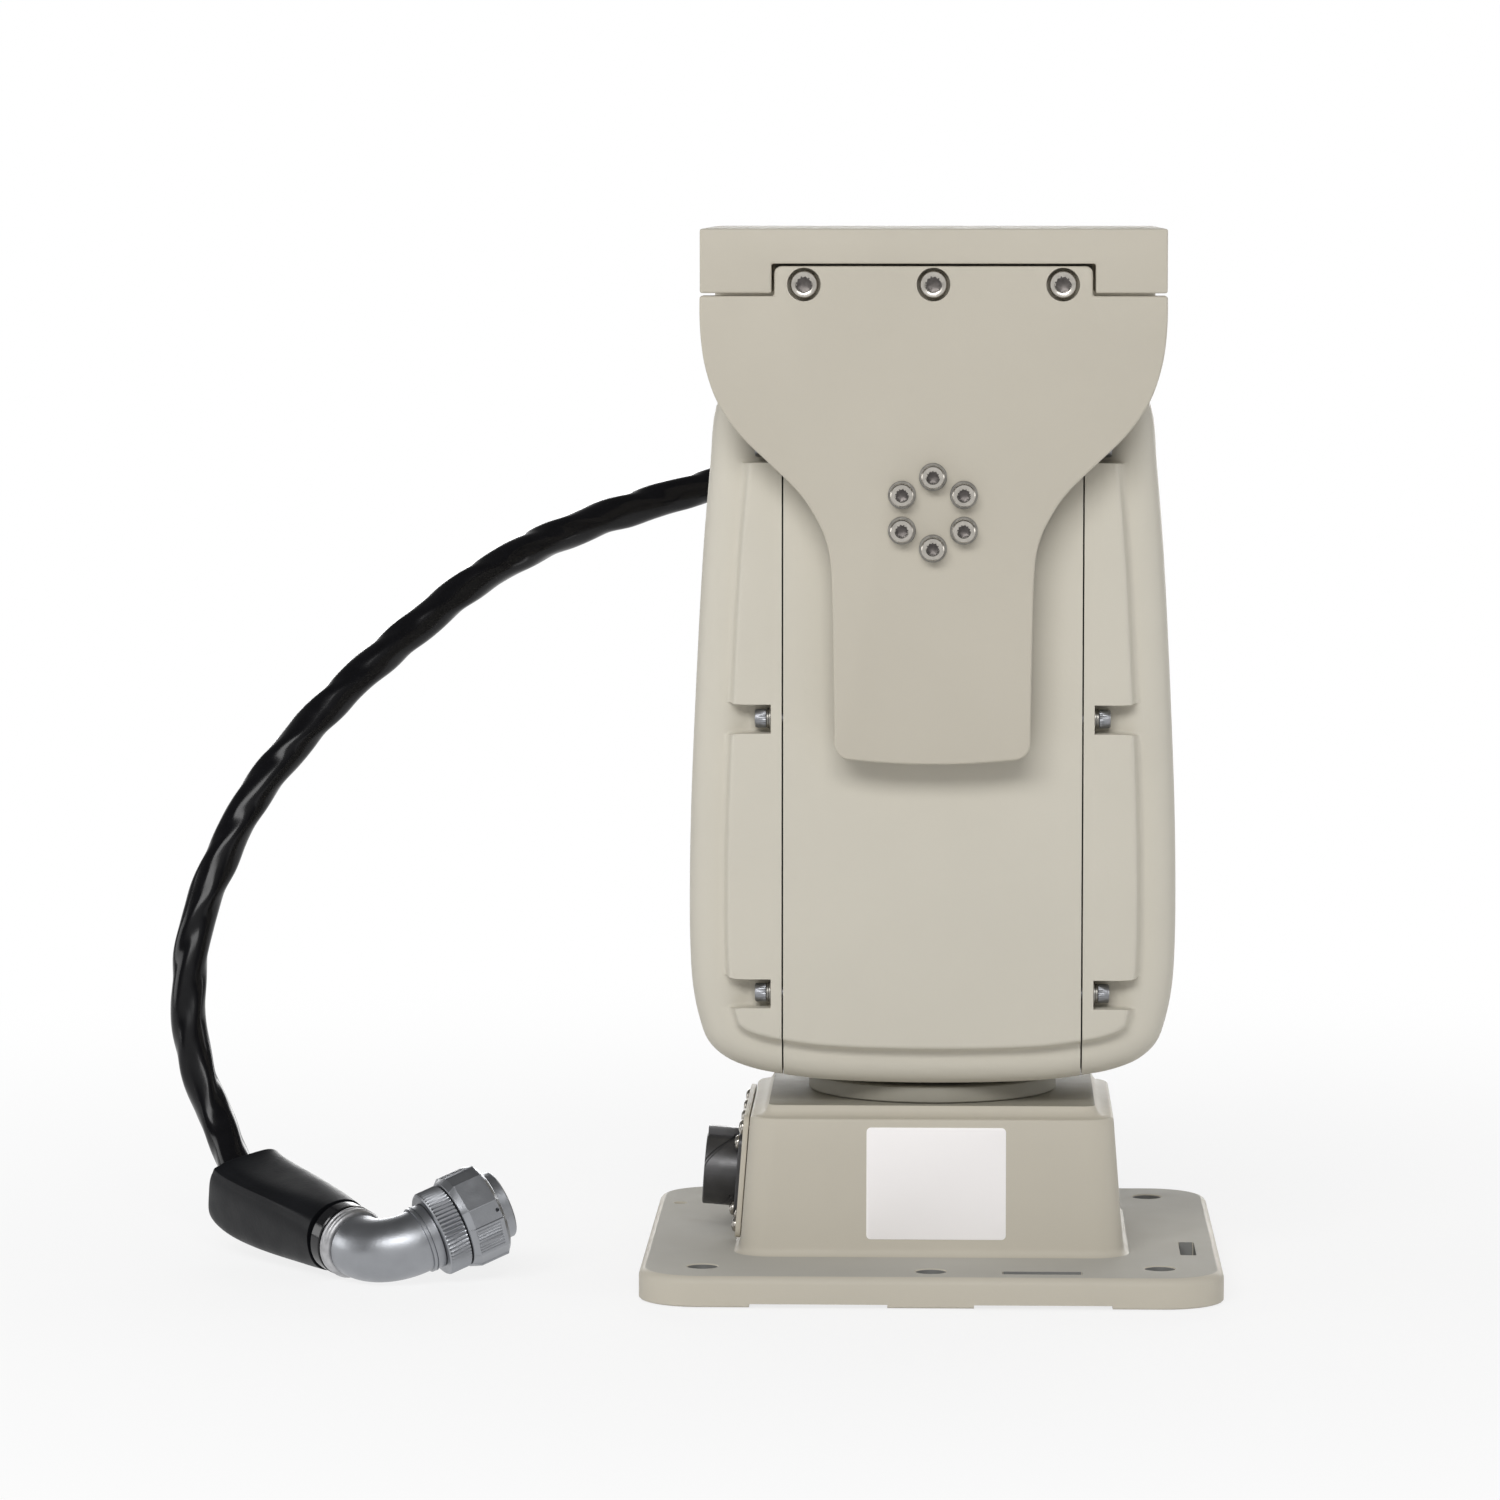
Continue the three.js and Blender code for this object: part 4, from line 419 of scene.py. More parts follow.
# %% The cable's route, in metres
boot_entry = Vector((-0.2592, 0.010, 0.0261))
boot_in = Vector((0.45, -0.65, -0.61)).normalized()
cable_route = [
    (0, 0.1043, 0.2833), (0, 0.112, 0.2833), (0, 0.128, 0.2833), (-0.0065, 0.147, 0.2832),
    (-0.023, 0.163, 0.283), (-0.048, 0.1695, 0.2828), (-0.0855, 0.166, 0.2819), (-0.1066, 0.158, 0.2766),
    (-0.1413, 0.138, 0.2656), (-0.1749, 0.112, 0.2491), (-0.2017, 0.095, 0.2283), (-0.2256, 0.079, 0.2074),
    (-0.2444, 0.067, 0.1871), (-0.2609, 0.057, 0.1652), (-0.2725, 0.0485, 0.1414), (-0.2788, 0.043, 0.1237),
    (-0.2821, 0.0385, 0.1035), (-0.2821, 0.035, 0.0839), (-0.2786, 0.032, 0.0662), (-0.2727, 0.0285, 0.051),
    (-0.2683, 0.024, 0.0431), tuple(boot_entry - boot_in * 0.007), tuple(boot_entry - boot_in * 0.0003),
]
ring_spacing = 0.002
cable_line, cable_length = evenly(curve_through(cable_route, 12), ring_spacing)
print("cable length", round(cable_length, 4), "m in", len(cable_line), "points")

# %% The sleeved cable
cable_radius, lobe, ripple, fold = 0.00652, 0.0003, 0.00008, 0.0004
twist_pitch, fold_pitch, fold_breadth, ripple_lead = 0.075, 0.019, 1.1, 1.1


def cable_ring(at, side, up, travelled):
    ring = []
    for angle in round_angles(40):
        lay = angle - travelled / twist_pitch * 2 * pi
        lump = noise.noise(Vector((cos(angle) * fold_breadth, sin(angle) * fold_breadth,
                                   travelled / fold_pitch)))
        radius = cable_radius + lobe * cos(3 * lay) + ripple * cos(5 * lay + ripple_lead) + fold * lump
        ring.append(at + (side * cos(angle) + up * sin(angle)) * radius)
    return ring


cable_rings = [cable_ring(p, side, up, i * ring_spacing)
               for i, (p, way, side, up) in enumerate(frames_along(cable_line, (1, 0, 0)))]
payload_cable = wrapped("sleeved_cable", cable_rings)
settle(payload_cable, "head", sleeve, "sleeve", "payload_cable", angle=60)

# %% [markdown]
# ## The head's casting
# The body is a slab with a curved outline. Its sides roll over into a band, and a flat panel stands
# proud of the band with a soft step round it. One skin is wrapped over that edge profile and then split
# in three, so the centre frame and both covers meet in perfectly flush seams, as machined castings do.

# %% Outline of the body, seen from the front
head_bottom, tilt_height, shoulder_rise = 72.9, 283.3, 210.4
body_half_width, crown_radius, crown_from = 88.6, 87, 25


def arc(radius, start, end, steps):
    angles = [start + (end - start) * i / steps for i in range(steps + 1)]
    return [Vector((radius * cos(a), tilt_height + radius * sin(a))) for a in angles]


half_width_shares = [
    (0, 0), (0.44, 0.0052), (0.615, 0.0143), (0.749, 0.0257), (0.853, 0.0442), (0.924, 0.0727),
    (0.9605, 0.1131), (0.9876, 0.1706), (0.9989, 0.25), (1, 0.36), (0.9944, 0.4853), (0.9774, 0.6625),
    (0.9447, 0.9207), (0.9149, 1.0727),
]
right_side = [Vector((wide * body_half_width, head_bottom + high * shoulder_rise))
              for wide, high in half_width_shares]
right_side += arc(crown_radius, radians(crown_from), radians(90), 9)
left_side = [Vector((-p.x, p.y)) for p in right_side[1:-1]][::-1]
body_outline = curve_through(right_side + left_side, 4, closed=True)
print("outline points", len(body_outline))


def inset(outline, distance):
    count = len(outline)
    found = []
    for i, p in enumerate(outline):
        way = (outline[(i + 1) % count] - outline[i - 1]).normalized()
        found.append(Vector((p.x - way.y * distance, p.y + way.x * distance)))
    return found


# %% Edge profile: distance from the middle plane and inset, in millimetres
flat_from, roll_depth, roll_inset, roll_power = 43, 13.2, 10.8, 2.3
edge_profile = [(flat_from, 0)]
for i in range(1, 10):
    s = sin(radians(10 * i))
    rolled_in = roll_inset * (1 - (1 - s ** roll_power) ** (1 / roll_power))
    edge_profile.append((flat_from + roll_depth * s, rolled_in))
edge_profile += [(56.25, 11.6), (56.45, 12.3), (56.85, 12.85), (57.5, 13.25), (58.6, 13.65), (60.2, 14.1),
                 (61.1, 14.45), (61.6, 14.85), (61.88, 15.4), (62, 16.1)]


def body_rings(profile):
    return [[mm(p.x, y, p.y) for p in inset(body_outline, distance)] for y, distance in profile]


body_skin = wrapped("body_skin", body_rings([(-y, d) for y, d in reversed(edge_profile)] + edge_profile))
print("body skin faces", len(body_skin.data.polygons))


# %% Split by two planes
def slice_of(piece, name, x_low, x_high):
    part = copied(piece, name)
    for x, keep_above in ((x_low, True), (x_high, False)):
        if x is not None:
            with editing(part):
                bpy.ops.mesh.bisect(plane_co=mm(x, 0, 0), plane_no=(1, 0, 0), use_fill=True,
                                    clear_inner=keep_above, clear_outer=not keep_above)
    return part


frame_half_width, seam_gap = 54, 0.6
cover_from = frame_half_width + seam_gap
centre_frame = slice_of(body_skin, "centre_casting", -frame_half_width, frame_half_width)
left_cover = slice_of(body_skin, "left_cover_casting", None, -cover_from)
right_cover = slice_of(body_skin, "right_cover_casting", cover_from, None)
bpy.data.objects.remove(body_skin)
print("seam gap", seam_gap, "mm on each side")

# %% [markdown]
# The castings are hollow: the frame is open between the covers, with a thinner bay behind each panel,
# and round hubs carry the pan bearing below and the tilt bearings front and back.

# %% Hollow out the frame
def arch(half_width, bottom, radius, half_depth):
    start = acos(half_width / radius)
    points = [(-half_width, bottom), (half_width, bottom), *arc(radius, start, pi - start, 24)]
    return extruded("arch", [mm(x, -half_depth, z) for x, z in points], mm(0, 2 * half_depth, 0))


def bar(name, radius, low, high, origin=floor_centre, axis=upward, steps=96):
    return spun(name, [(low, 0), (low, radius), (high, radius), (high, 0)], origin, axis, steps)


tilt_centre = mm(0, 0, tilt_height)
cut_away(centre_frame, arch(60, 77.8, 82.4, 50), arch(44, 92.9, 67, 56))
built_on(centre_frame, bar("hub", 39.7, 73.9, 93.5))
cut_away(centre_frame, bar("bearing_seat", 34.3, 74.9, 99), bar("seal_seat", 26, 60, 80))
for way in (-1, 1):
    built_on(centre_frame, bar("tilt_hub", 35.2, 44.7, 56.3, tilt_centre, (0, way, 0)))
    cut_away(centre_frame, bar("tilt_seat", 31.3, 38, 58.3, tilt_centre, (0, way, 0)),
             bar("tilt_lip", 24, 40, 70, tilt_centre, (0, way, 0)))
for x, z in ((26, 214), (-26, 214), (-26, 142), (26, 142)):
    built_on(centre_frame, bar("board_boss", 3, -56.3, -50.6, mm(x, 0, z), rearward, 24))
weld(centre_frame)
print("frame faces", len(centre_frame.data.polygons))

# %% [markdown]
# Each cover is held by six socket screws that run sideways into the frame. A pocket opens the raised
# panel in front of every screw: a flat floor beside the screw's head and a ramp up to the band, with
# soft corners where the mill or the mould left a radius.

# %% Screw pockets in a cover
pocket_mouth, pocket_corner, pocket_back, top_pocket_shift = 68, 1.4, 60, 4.6
pocket_steps = ((58.5, 53.2, 5.3), (66, 53.2, 5.3), (67.4, 53.4, 5.3), (69.4, 54.3, 5.35), (71.6, 55.3, 5.5),
                (73.8, 55.95, 5.95), (75.8, 56.2, 6.9), (77.4, 56.3, 8.3), (90, 56.3, 8.3))
screw_heights = [head_bottom + share * shoulder_rise for share in (1.106, 0.64, 0.1645)]


def quarter(count):
    return [radians(90 * i / count) for i in range(count + 1)]


def pocket_cutter(side, front, height, shift):
    rings = []
    for x, floor, half in pocket_steps:
        upper = [(floor + pocket_corner * (1 - sin(a)), half - pocket_corner * (1 - cos(a)))
                 for a in quarter(5)]
        lower = [(y, -z) for y, z in reversed(upper)]
        place = x if x < pocket_back else x - shift
        rings.append([mm(side * place, front * y, height + z)
                      for y, z in [(pocket_mouth, half), *upper, *lower, (pocket_mouth, -half)]])
    return wrapped("pocket_cutter", rings)


def hollowed(cover, side):
    rings = [[mm(p.x, y, p.y) for p in inset(body_outline, d)]
             for y, d in ((-50, 9.2), (-38.4, 4.6), (38.4, 4.6), (50, 9.2))]
    cut_away(cover, wrapped("cover_bay", rings))
    for height in screw_heights:
        shift = top_pocket_shift if height > tilt_height else 0
        for front in (-1, 1):
            cut_away(cover, pocket_cutter(side, front, height, shift))
    return weld(cover)


for piece, node in ((centre_frame, "centre_frame"), (hollowed(left_cover, -1), "left_cover"),
                    (hollowed(right_cover, 1), "right_cover")):
    settle(piece, "head", pale_paint, "paint", node, angle=32)

# %% [markdown]
# ## The tilting yoke
# Two thick arms are cut from plate: wide shoulders that follow the body, a tab that fits the payload
# plate's notch, and a tongue that hangs down over the body. Their edges are broken with a small radius.

# %% Arm outline
flank = [(1, 1), (1, 0.897), (0.9875, 0.78), (0.956, 0.664), (0.869, 0.51), (0.6985, 0.357), (0.497, 0.234),
         (0.31, 0.122), (0.216, 0.053), (0.139, -0.025), (0.085, -0.092), (0.042, -0.18), (0.02, -0.325),
         (0.008, -0.67), (0, -1)]
tongue_half, tongue_drop, tongue_corner, tongue_sag = 35.2, 90.5, 6, 1.6
flank_width, arm_rise, tab_half, tab_corner = 48.3, 77.3, 56.8, 2.5
flank_points = [(tongue_half + flank_width * w, tilt_height + arm_rise * h) for w, h in flank]
flank_line, flank_length = evenly(curve_through(flank_points, 8), 3)
tab_top = tilt_height + arm_rise + 10.6
tongue_low = tilt_height - tongue_drop + tongue_sag


def round_corner(x, z, radius, inwards, angles):
    return [Vector((x - radius * (1 - cos(radians(a))), z + inwards * radius * (1 - sin(radians(a)))))
            for a in angles]


tab = round_corner(tab_half, tab_top, tab_corner, -1, (90, 67.5, 45, 22.5, 0))
tongue = round_corner(tongue_half, tongue_low, tongue_corner, 1, range(0, 91, 10))
sag = [Vector(((tongue_half - tongue_corner) * t, tilt_height - tongue_drop + tongue_sag * t * t))
       for t in (0.75, 0.5, 0.25, 0)]
arm_half = [*tab, Vector((tab_half, tilt_height + arm_rise)), *flank_line, *tongue, *sag]
arm_outline = arm_half + [Vector((-p.x, p.y)) for p in arm_half[-2::-1]]
print("arm outline", len(arm_outline), "points, flank", round(flank_length, 1), "mm")

# %% Both arms
arm_inner, arm_thickness = 67, 13
plate_screw_height, plate_screw_places = 364.7, (-46.2, 0, 46.2)
sides = ((-1, "front"), (1, "rear"))


def arm(name, side):
    outline = [mm(p.x, side * arm_inner, p.y) for p in arm_outline]
    piece = extruded(name, outline, mm(0, side * arm_thickness, 0))
    rounded_off(piece, 0.9, 3, 35)
    for x in plate_screw_places:
        place = mm(x, 0, plate_screw_height)
        cut_away(piece, bar("counterbore", 6, 74.4, 90, place, (0, side, 0), 64),
                 bar("screw_hole", 3.3, 60, 80, place, (0, side, 0), 32))
    if side > 0:
        cut_away(piece, bar("cable_way", 7.7, 60, 90, tilt_centre, rearward, 48))
    return weld(piece)


for side, side_name in sides:
    settle(arm(f"{side_name}_arm_plate", side), "bracket", paint, "paint", f"{side_name}_arm", angle=32)

# %% The payload plate
payload_hole = [(375.5, 0), (375.5, 3.4), (384.1, 3.4), (384.9, 4.2), (386, 4.2), (386, 0)]
payload_plate = block("payload_plate", (-83.4, -80, 361.6), (83.4, 80, 384.5))
cut_away(payload_plate, block("channel", (-57.8, -90, 350), (57.8, 90, 372.1)))
rounded_off(payload_plate, 0.8, 3, 40)
for way in (-1, 1):
    y_low, y_high = sorted((way * 62.8, way * 66.7))
    built_on(payload_plate, block("rib", (-tab_half, y_low, 358.5), (tab_half, y_high, 372.4)))
    for x in plate_screw_places:
        cut_away(payload_plate, bar("rib_hole", 3.3, 60, 67, mm(x, 0, plate_screw_height), (0, way, 0), 32))
    for x in (-50, 50):
        cut_away(payload_plate, spun("payload_hole", payload_hole, mm(x, way * 50, 0), steps=48))
settle(weld(payload_plate), "bracket", paint, "paint", "top_plate", angle=32)

# %% [markdown]
# ## The base casting
# The base is a square flange with a tapered pedestal on it. Rounded rectangles of many sizes, stacked
# from the floor up and wrapped, give the flange's rolled edge, the fillet, the slanting walls, the ledge
# and the cove under the deck in one surface. The holes and slots are cut afterwards.

# %% Rounded rectangles, stacked
def rounded_rectangle(half_x, half_y, corner, z, steps=10):
    points = []
    for turn, (sx, sy) in enumerate(four_corners):
        for i in range(steps + 1):
            angle = radians(90 * turn + 90 * i / steps)
            points.append(mm(sx * (half_x - corner) + corner * cos(angle),
                             sy * (half_y - corner) + corner * sin(angle), z))
    return points


def stepped(half_x, half_y, corner, steps):
    return [(half_x - inwards, half_y - inwards, corner - inwards, z) for inwards, z in steps]


def stacked(name, rows):
    return wrapped(name, [rounded_rectangle(*row) for row in rows])


flange_half, flange_top, flange_round = 105.5, 11, 3
foot_x, foot_y, wall_foot, wall_rise, wall_slant, wall_corner = 70, 59.8, 14, 47, 3.6, 11
ledge_x, ledge_y, ledge_height, ledge_round = 66.4, 56.2, 59.8, 1.2
flange_edge = [(flange_round * (1 - cos(a)), flange_top - flange_round * (1 - sin(a))) for a in quarter(7)]
base_rows = stepped(flange_half, flange_half, 22, [(0.4, 0), (0, 0.4), *flange_edge])
base_rows += stepped(foot_x, foot_y, wall_corner, [(-3 * (1 - sin(a)), flange_top + 3 * (1 - cos(a)))
                                                   for a in quarter(6)])
base_rows += [(foot_x - wall_slant * t, foot_y - wall_slant * t, wall_corner, wall_foot + wall_rise * t)
              for t in (0.25, 0.5, 0.75, 0.965)]
cove = [(2.2, 61.05), (3.6, 61.35), (4.8, 61.95), (5.6, 62.8), (6.1, 63.8), (6.45, 64.6), (6.75, 65.0),
        (7.3, 65.2)]
ledge = [(ledge_round * (1 - cos(a)), ledge_height + ledge_round * sin(a)) for a in quarter(5)]
base_rows += stepped(ledge_x, ledge_y, wall_corner, ledge + cove)
base_casting = stacked("base_casting", base_rows)
print("base rows", len(base_rows))

# %% Hollow, holes and slots of the base
flange_holes = [(82.5 * x, 82.5 * y) for x, y in four_corners] + [(0, 91), (0, -91)]
flange_slots = ((40, -93.8, 14.4, 2.9), (93.8, -39, 2.9, 14.4))
below, above, bolt_radius, hole_rim, slot_corner = -6, 18, 5.5, 0.4, 0.9
cut_away(base_casting,
         stacked("base_hollow", [(65.5, 55.3, 20, below), (65.5, 55.3, 20, 14), (61.9, 51.7, 20, 55.7),
                                 (57.4, 47.2, 20, 60.2)]),
         stacked("plate_recess", [(68.9, 58.7, 8, below), (68.9, 58.7, 8, 4.8)]))
for way in (-1, 1):
    low, high = sorted((way * 15.5, way * 65))
    cut_away(base_casting, block("relief_x", (low, -112, below), (high, 112, 1.2)),
             block("relief_y", (-112, low, below), (112, high, 1.2)))
for x, y, radius in [(x, y, bolt_radius) for x, y in flange_holes] + [(-96.8, 62, 2.35)]:
    wide = radius + 2 * hole_rim
    hole = [(below, 0), (below, radius), (flange_top - hole_rim, radius), (flange_top + hole_rim, wide),
            (above, wide), (above, 0)]
    cut_away(base_casting, spun("through_hole", hole, mm(x, y, 0), steps=64))
for x, y, half_x, half_y in flange_slots:
    rings = [[p + mm(x, y, 0) for p in rounded_rectangle(half_x, half_y, slot_corner, z, 6)]
             for z in (below, above)]
    cut_away(base_casting, wrapped("slot", rings))
cut_away(base_casting, bar("deck_bore", 24, 50, 70))

# %% [markdown]
# The connector panel and its receptacle lean with the pedestal's left wall, so they are drawn in a frame
# of their own: its origin is the receptacle's centre on the wall, and its outward way follows the lean.

# %% The leaning wall's frame
lean = atan2(wall_slant, wall_rise)
receptacle_height = 33


def wall_at(foot, height):
    return foot - (height - wall_foot) * tan(lean)


wall_turn = Matrix.Rotation(lean, 4, "Y")
wall_frame = Matrix.Translation(mm(-wall_at(foot_x, receptacle_height), 0, receptacle_height)) @ wall_turn


def leaned(piece):
    piece.data.transform(wall_frame)
    return piece


cut_away(base_casting, leaned(bar("wall_window", 16, -10, 6, axis=leftward)))
settle(weld(base_casting), "base", paint, "paint", "base_housing", angle=32)


# %% Painted shade: dark bare metal in the holes and slots, darker enamel on the flange's top and on the deck
def in_a_hole(x, y):
    return any((x - a) ** 2 + (y - b) ** 2 < (bolt_radius + 0.1) ** 2 for a, b in flange_holes)


def on_a_slot(x, y):
    return any(abs(max(abs(x - a) - half_x, abs(y - b) - half_y)) < 0.1
               for a, b, half_x, half_y in flange_slots)


relief_top, deck_low, flange_low, flange_high, level, nearly_level = 1.3, 64.9, 10.5, 13.5, 0.98, 0.5
for coat in (painted_shade_bare_metal, painted_shade_deck, painted_shade_flange):
    base_casting.data.materials.append(coat)
for face in base_casting.data.polygons:
    x, y, z = face.center * 1000
    if relief_top < z < flange_top - 0.1 and (in_a_hole(x, y) or on_a_slot(x, y)):
        face.material_index = 1
    elif z > deck_low and face.normal.z > nearly_level:
        face.material_index = 2
    elif flange_low < z < flange_high and face.normal.z > level:
        face.material_index = 3
coats = [face.material_index for face in base_casting.data.polygons]
print("bare faces", coats.count(1), "deck faces", coats.count(2), "flange faces", coats.count(3))


# %% Connector panel
def standing_plate(name, half_y, low_z, high_z, corner, steps):
    middle, half_z = (low_z + high_z) / 2, (high_z - low_z) / 2
    rings = [[Vector((x * 0.001, p.x, p.y + middle * 0.001))
              for p in rounded_rectangle(half_y - d, half_z - d, corner - d, 0, 6)] for d, x in steps]
    return wrapped(name, rings)


connector_panel = standing_plate("connector_panel_plate", 45, -18.4, 27, 4, [
    (0.3, -0.3), (0, -0.5), (0, -1.9), (0.12, -2.2), (0.4, -2.3)])
cut_away(connector_panel, bar("panel_window", 12.9, -6, 6, axis=leftward))
settle(leaned(weld(connector_panel)), "base", paint, "paint", "connector_panel", angle=32)

# %% [markdown]
# ## The receptacle
# The shell is a turned barrel on a square flange. A key ridge runs along its top and three slanted
# grooves guide the mating plug's pins, so a plug is pushed on and turned. The grooves are cut with bars
# bent round the barrel.

# %% Receptacle shell
barrel_radius, groove_radius, groove_turn, groove_points = 13.4, 0.75, 78, 24
groove_mouth, groove_run = 16.8, 11.2
shell = spun("receptacle_shell", [
    (-14, 11.3), (-14, 12.6), (2.6, 12.6), (2.6, 15), (4.2, 15), (4.2, 13.3), (15.9, 13.3), (16.3, 12.9),
    (16.3, 11.8), (15.9, 11.3)], axis=leftward, steps=128)
square_flange = standing_plate("square_flange", 15.5, -15.5, 15.5, 4, [(0, -2.62), (0, -3.9), (0.3, -4.2)])
cut_away(square_flange, bar("flange_bore", 12, -6, 6, axis=leftward, steps=128))
key = rounded_off(block("key", (-16, -2.6, 12.6), (-4, 2.6, 16)), 0.35, 2, 40)
built_on(shell, square_flange, key)
for start in (35, 155, 275):
    groove = []
    for i in range(groove_points + 1):
        t = i / groove_points
        angle = radians(start + groove_turn * t)
        outward = Vector((0, sin(angle), cos(angle)))
        depth = groove_mouth - groove_run * (3 * t * t - 2 * t * t * t)
        groove.append((mm(-depth, 0, 0) + outward * barrel_radius * 0.001, outward))
    rings = []
    for i, (p, outward) in enumerate(groove):
        way = (groove[min(i + 1, groove_points)][0] - groove[max(i - 1, 0)][0]).normalized()
        side = outward.cross(way).normalized()
        rings.append(circle_round(p, side, outward, groove_radius, 10))
    cut_away(shell, wrapped("groove", rings))
settle(leaned(weld(shell)), "base", dark_shell, "dark_shell", "base_receptacle", angle=30)


# %% Contact insert
def in_rings(*rings):
    return [(radius * cos(a), radius * sin(a)) for count, radius in rings for a in round_angles(count)]


def joined_as(name, pieces):
    piece = joined(*pieces)
    piece.name = piece.data.name = name
    return piece


insert_face = spun("contact_insert", [(-13.7, 0), (-13.7, 11), (6.3, 11), (6.8, 10.5), (6.8, 0)],
                   axis=leftward)
pin_profile = [(3, 0), (3, 0.7), (9.6, 0.7), (10.3, 0.35), (10.4, 0)]
pins = []
for z, y in in_rings((1, 0), (6, 4.2), (12, 8.0)):
    cut_away(insert_face, bar("contact_well", 1.15, 5.6, 9, mm(0, y, z), leftward, 20))
    pins.append(spun("pin", pin_profile, mm(0, y, z), leftward, 16))
settle(leaned(weld(insert_face)), "base", black_plastic, "plastic", "receptacle_insert")
settle(leaned(joined_as("contact_pins", pins)), "base", bronze, "bronze")

# %% [markdown]
# ## Socket screws
# A socket screw is a short cylinder with a fine straight knurl, a chamfered top and a six-sided socket.
# Sixty points go round each ring, ten to a side of the socket, so that one grid holds all of it. The
# screw is modelled once at the origin for each size and copied to its places with a washer.

# %% Screw and washer
turns = round_angles(60)
knurl_depth, washer_edge = 0.14, 0.12


def screw_circle(radius, z, knurl=0.0):
    return [polar(radius - knurl * (i % 2), a, z) for i, a in enumerate(turns)]


def screw_hexagon(flat, z):
    return [polar(flat / cos(turns[i % 10] - turns[5]), a, z) for i, a in enumerate(turns)]


def socket_screw(name, head, height, socket, shank, length):
    circles = [(shank - 0.4, -length), (shank, -length + 0.5), (shank, 0), (head - 0.3, 0),
               (head, 0.25, knurl_depth), (head, height * 0.84, knurl_depth), (head - 0.1, height * 0.86),
               (head - 0.14, height * 0.93), (head - 0.5, height), (socket * 1.28, height),
               (socket * 1.19, height - 0.12)]
    rows = [screw_circle(*row) for row in circles]
    rows += [screw_hexagon(socket, height - 0.3), screw_hexagon(socket, height * 0.42),
             screw_circle(socket * 0.55, height * 0.34)]
    return wrapped(name, rows)


def washer(name, inner, outer, thick, low):
    top, rim = low + thick, outer - washer_edge
    return spun(name, [(low, inner), (low, rim), (low + washer_edge, outer), (top - washer_edge, outer),
                       (top, rim), (top, inner)], steps=48)


def screw_with_washers(name, size, washers=(), steel=stainless):
    head, height, socket, shank, length = size
    piece = socket_screw(name, *size)
    piece.data.materials.append(steel)
    piece.data.materials.append(socket_shade)
    # The socket's walls take the dark steel: painted shade in the socket.
    for face in piece.data.polygons:
        place = face.center * 1000
        if place.xy.length < socket * 1.1 and height * 0.2 < place.z < height - 0.2:
            face.material_index = 1
    rings = [washer(f"washer_{i}", *w) for i, w in enumerate(washers)]
    for ring in rings:
        ring.data.materials.append(washer_steel)
    return smooth(joined(piece, *rings), 30)


def facing(place, way, spin=0.0):
    return (Matrix.Translation(place) @ Vector(way).to_track_quat("Z", "Y").to_matrix().to_4x4()
            @ Matrix.Rotation(spin, 4, "Z"))


def placed(pattern, name, place, way, body, node=None, spin=0.0):
    piece = copied(pattern, name, facing(place, way, spin))
    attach(piece, body)
    if node:
        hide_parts(node)
    return piece


# %% Plate screws in their counterbores
m6_screw = screw_with_washers("m6_pattern", (5, 5, 2.5, 2.9, 11))
for way, side_name in sides:
    for i, x in enumerate(plate_screw_places):
        placed(m6_screw, f"{side_name}_plate_socket_screw_{i + 1}", mm(x, way * 74.7, plate_screw_height),
               (0, way, 0), "bracket", f"{side_name}_plate_screw_{i + 1}", spin=0.35 + i)
bpy.data.objects.remove(m6_screw)
print("plate screws 6")

# %% Hub screws on washers
hub_circle, hub_screw_seat = 12.8, 81.0
m5_screw = screw_with_washers("m5_pattern", (4.25, 5, 2.0, 2.4, 7), [(2.6, 5, 0.9, -0.95)])
for way, side_name in sides:
    for i in range(6):
        angle = radians(60 * i)
        place = mm(hub_circle * sin(angle), way * hub_screw_seat, tilt_height + hub_circle * cos(angle))
        placed(m5_screw, f"{side_name}_hub_screw_{i + 1}", place, (0, way, 0), "bracket", spin=0.7 * i)
bpy.data.objects.remove(m5_screw)
print("hub screws 12")

# %% Cover screws in their pockets
cover_screw_x, cover_screw_y = 60.15, 57
m4_screw = screw_with_washers("m4_pattern", (3.4, 4.2, 1.6, 2.0, 7),
                              [(2.2, 3.5, 0.8, -0.85), (2.2, 4.0, 0.7, -1.6)], zinc_steel)
for side, cover_name in ((-1, "left"), (1, "right")):
    for way, side_name in sides:
        for i, height in enumerate(screw_heights):
            place = mm(side * cover_screw_x, way * cover_screw_y, height)
            placed(m4_screw, f"{cover_name}_{side_name}_cover_screw_{i + 1}", place, (side, 0, 0), "head",
                   spin=0.5 * i)
bpy.data.objects.remove(m4_screw)
print("cover screws 12")

# %% Panel, receptacle and bottom plate screws
m3_screw = spun("m3_pattern", [
    (-4, 0), (-4, 1.45), (0, 1.45), (0, 2.7), (0.25, 2.75), (0.7, 2.65), (1.15, 2.25), (1.5, 1.5), (1.6, 1.3),
    (0.9, 1.0), (0.5, 0.9), (0.4, 0)], steps=48)
m3_screw.data.materials.append(stainless)
smooth(m3_screw, 30)
outward = wall_turn.to_3x3() @ Vector(leftward)
panel_places = [wall_frame @ mm(-2.3, y, z) for y in (-40.4, -13.47, 13.47, 40.4) for z in (-13.8, 22.4)]
flange_places = [wall_frame @ mm(-4.2, y * 12.3, z * 12.3) for y, z in four_corners]
bottom_places = [mm(x * 62.5, y * 52.3, 3.1) for x, y in four_corners]
for name, places, way in (("panel_screw", panel_places, outward),
                          ("receptacle_screw", flange_places, outward),
                          ("bottom_plate_screw", bottom_places, (0, 0, -1))):
    for i, place in enumerate(places):
        placed(m3_screw, f"{name}_{i + 1}", place, way, "base")
bpy.data.objects.remove(m3_screw)
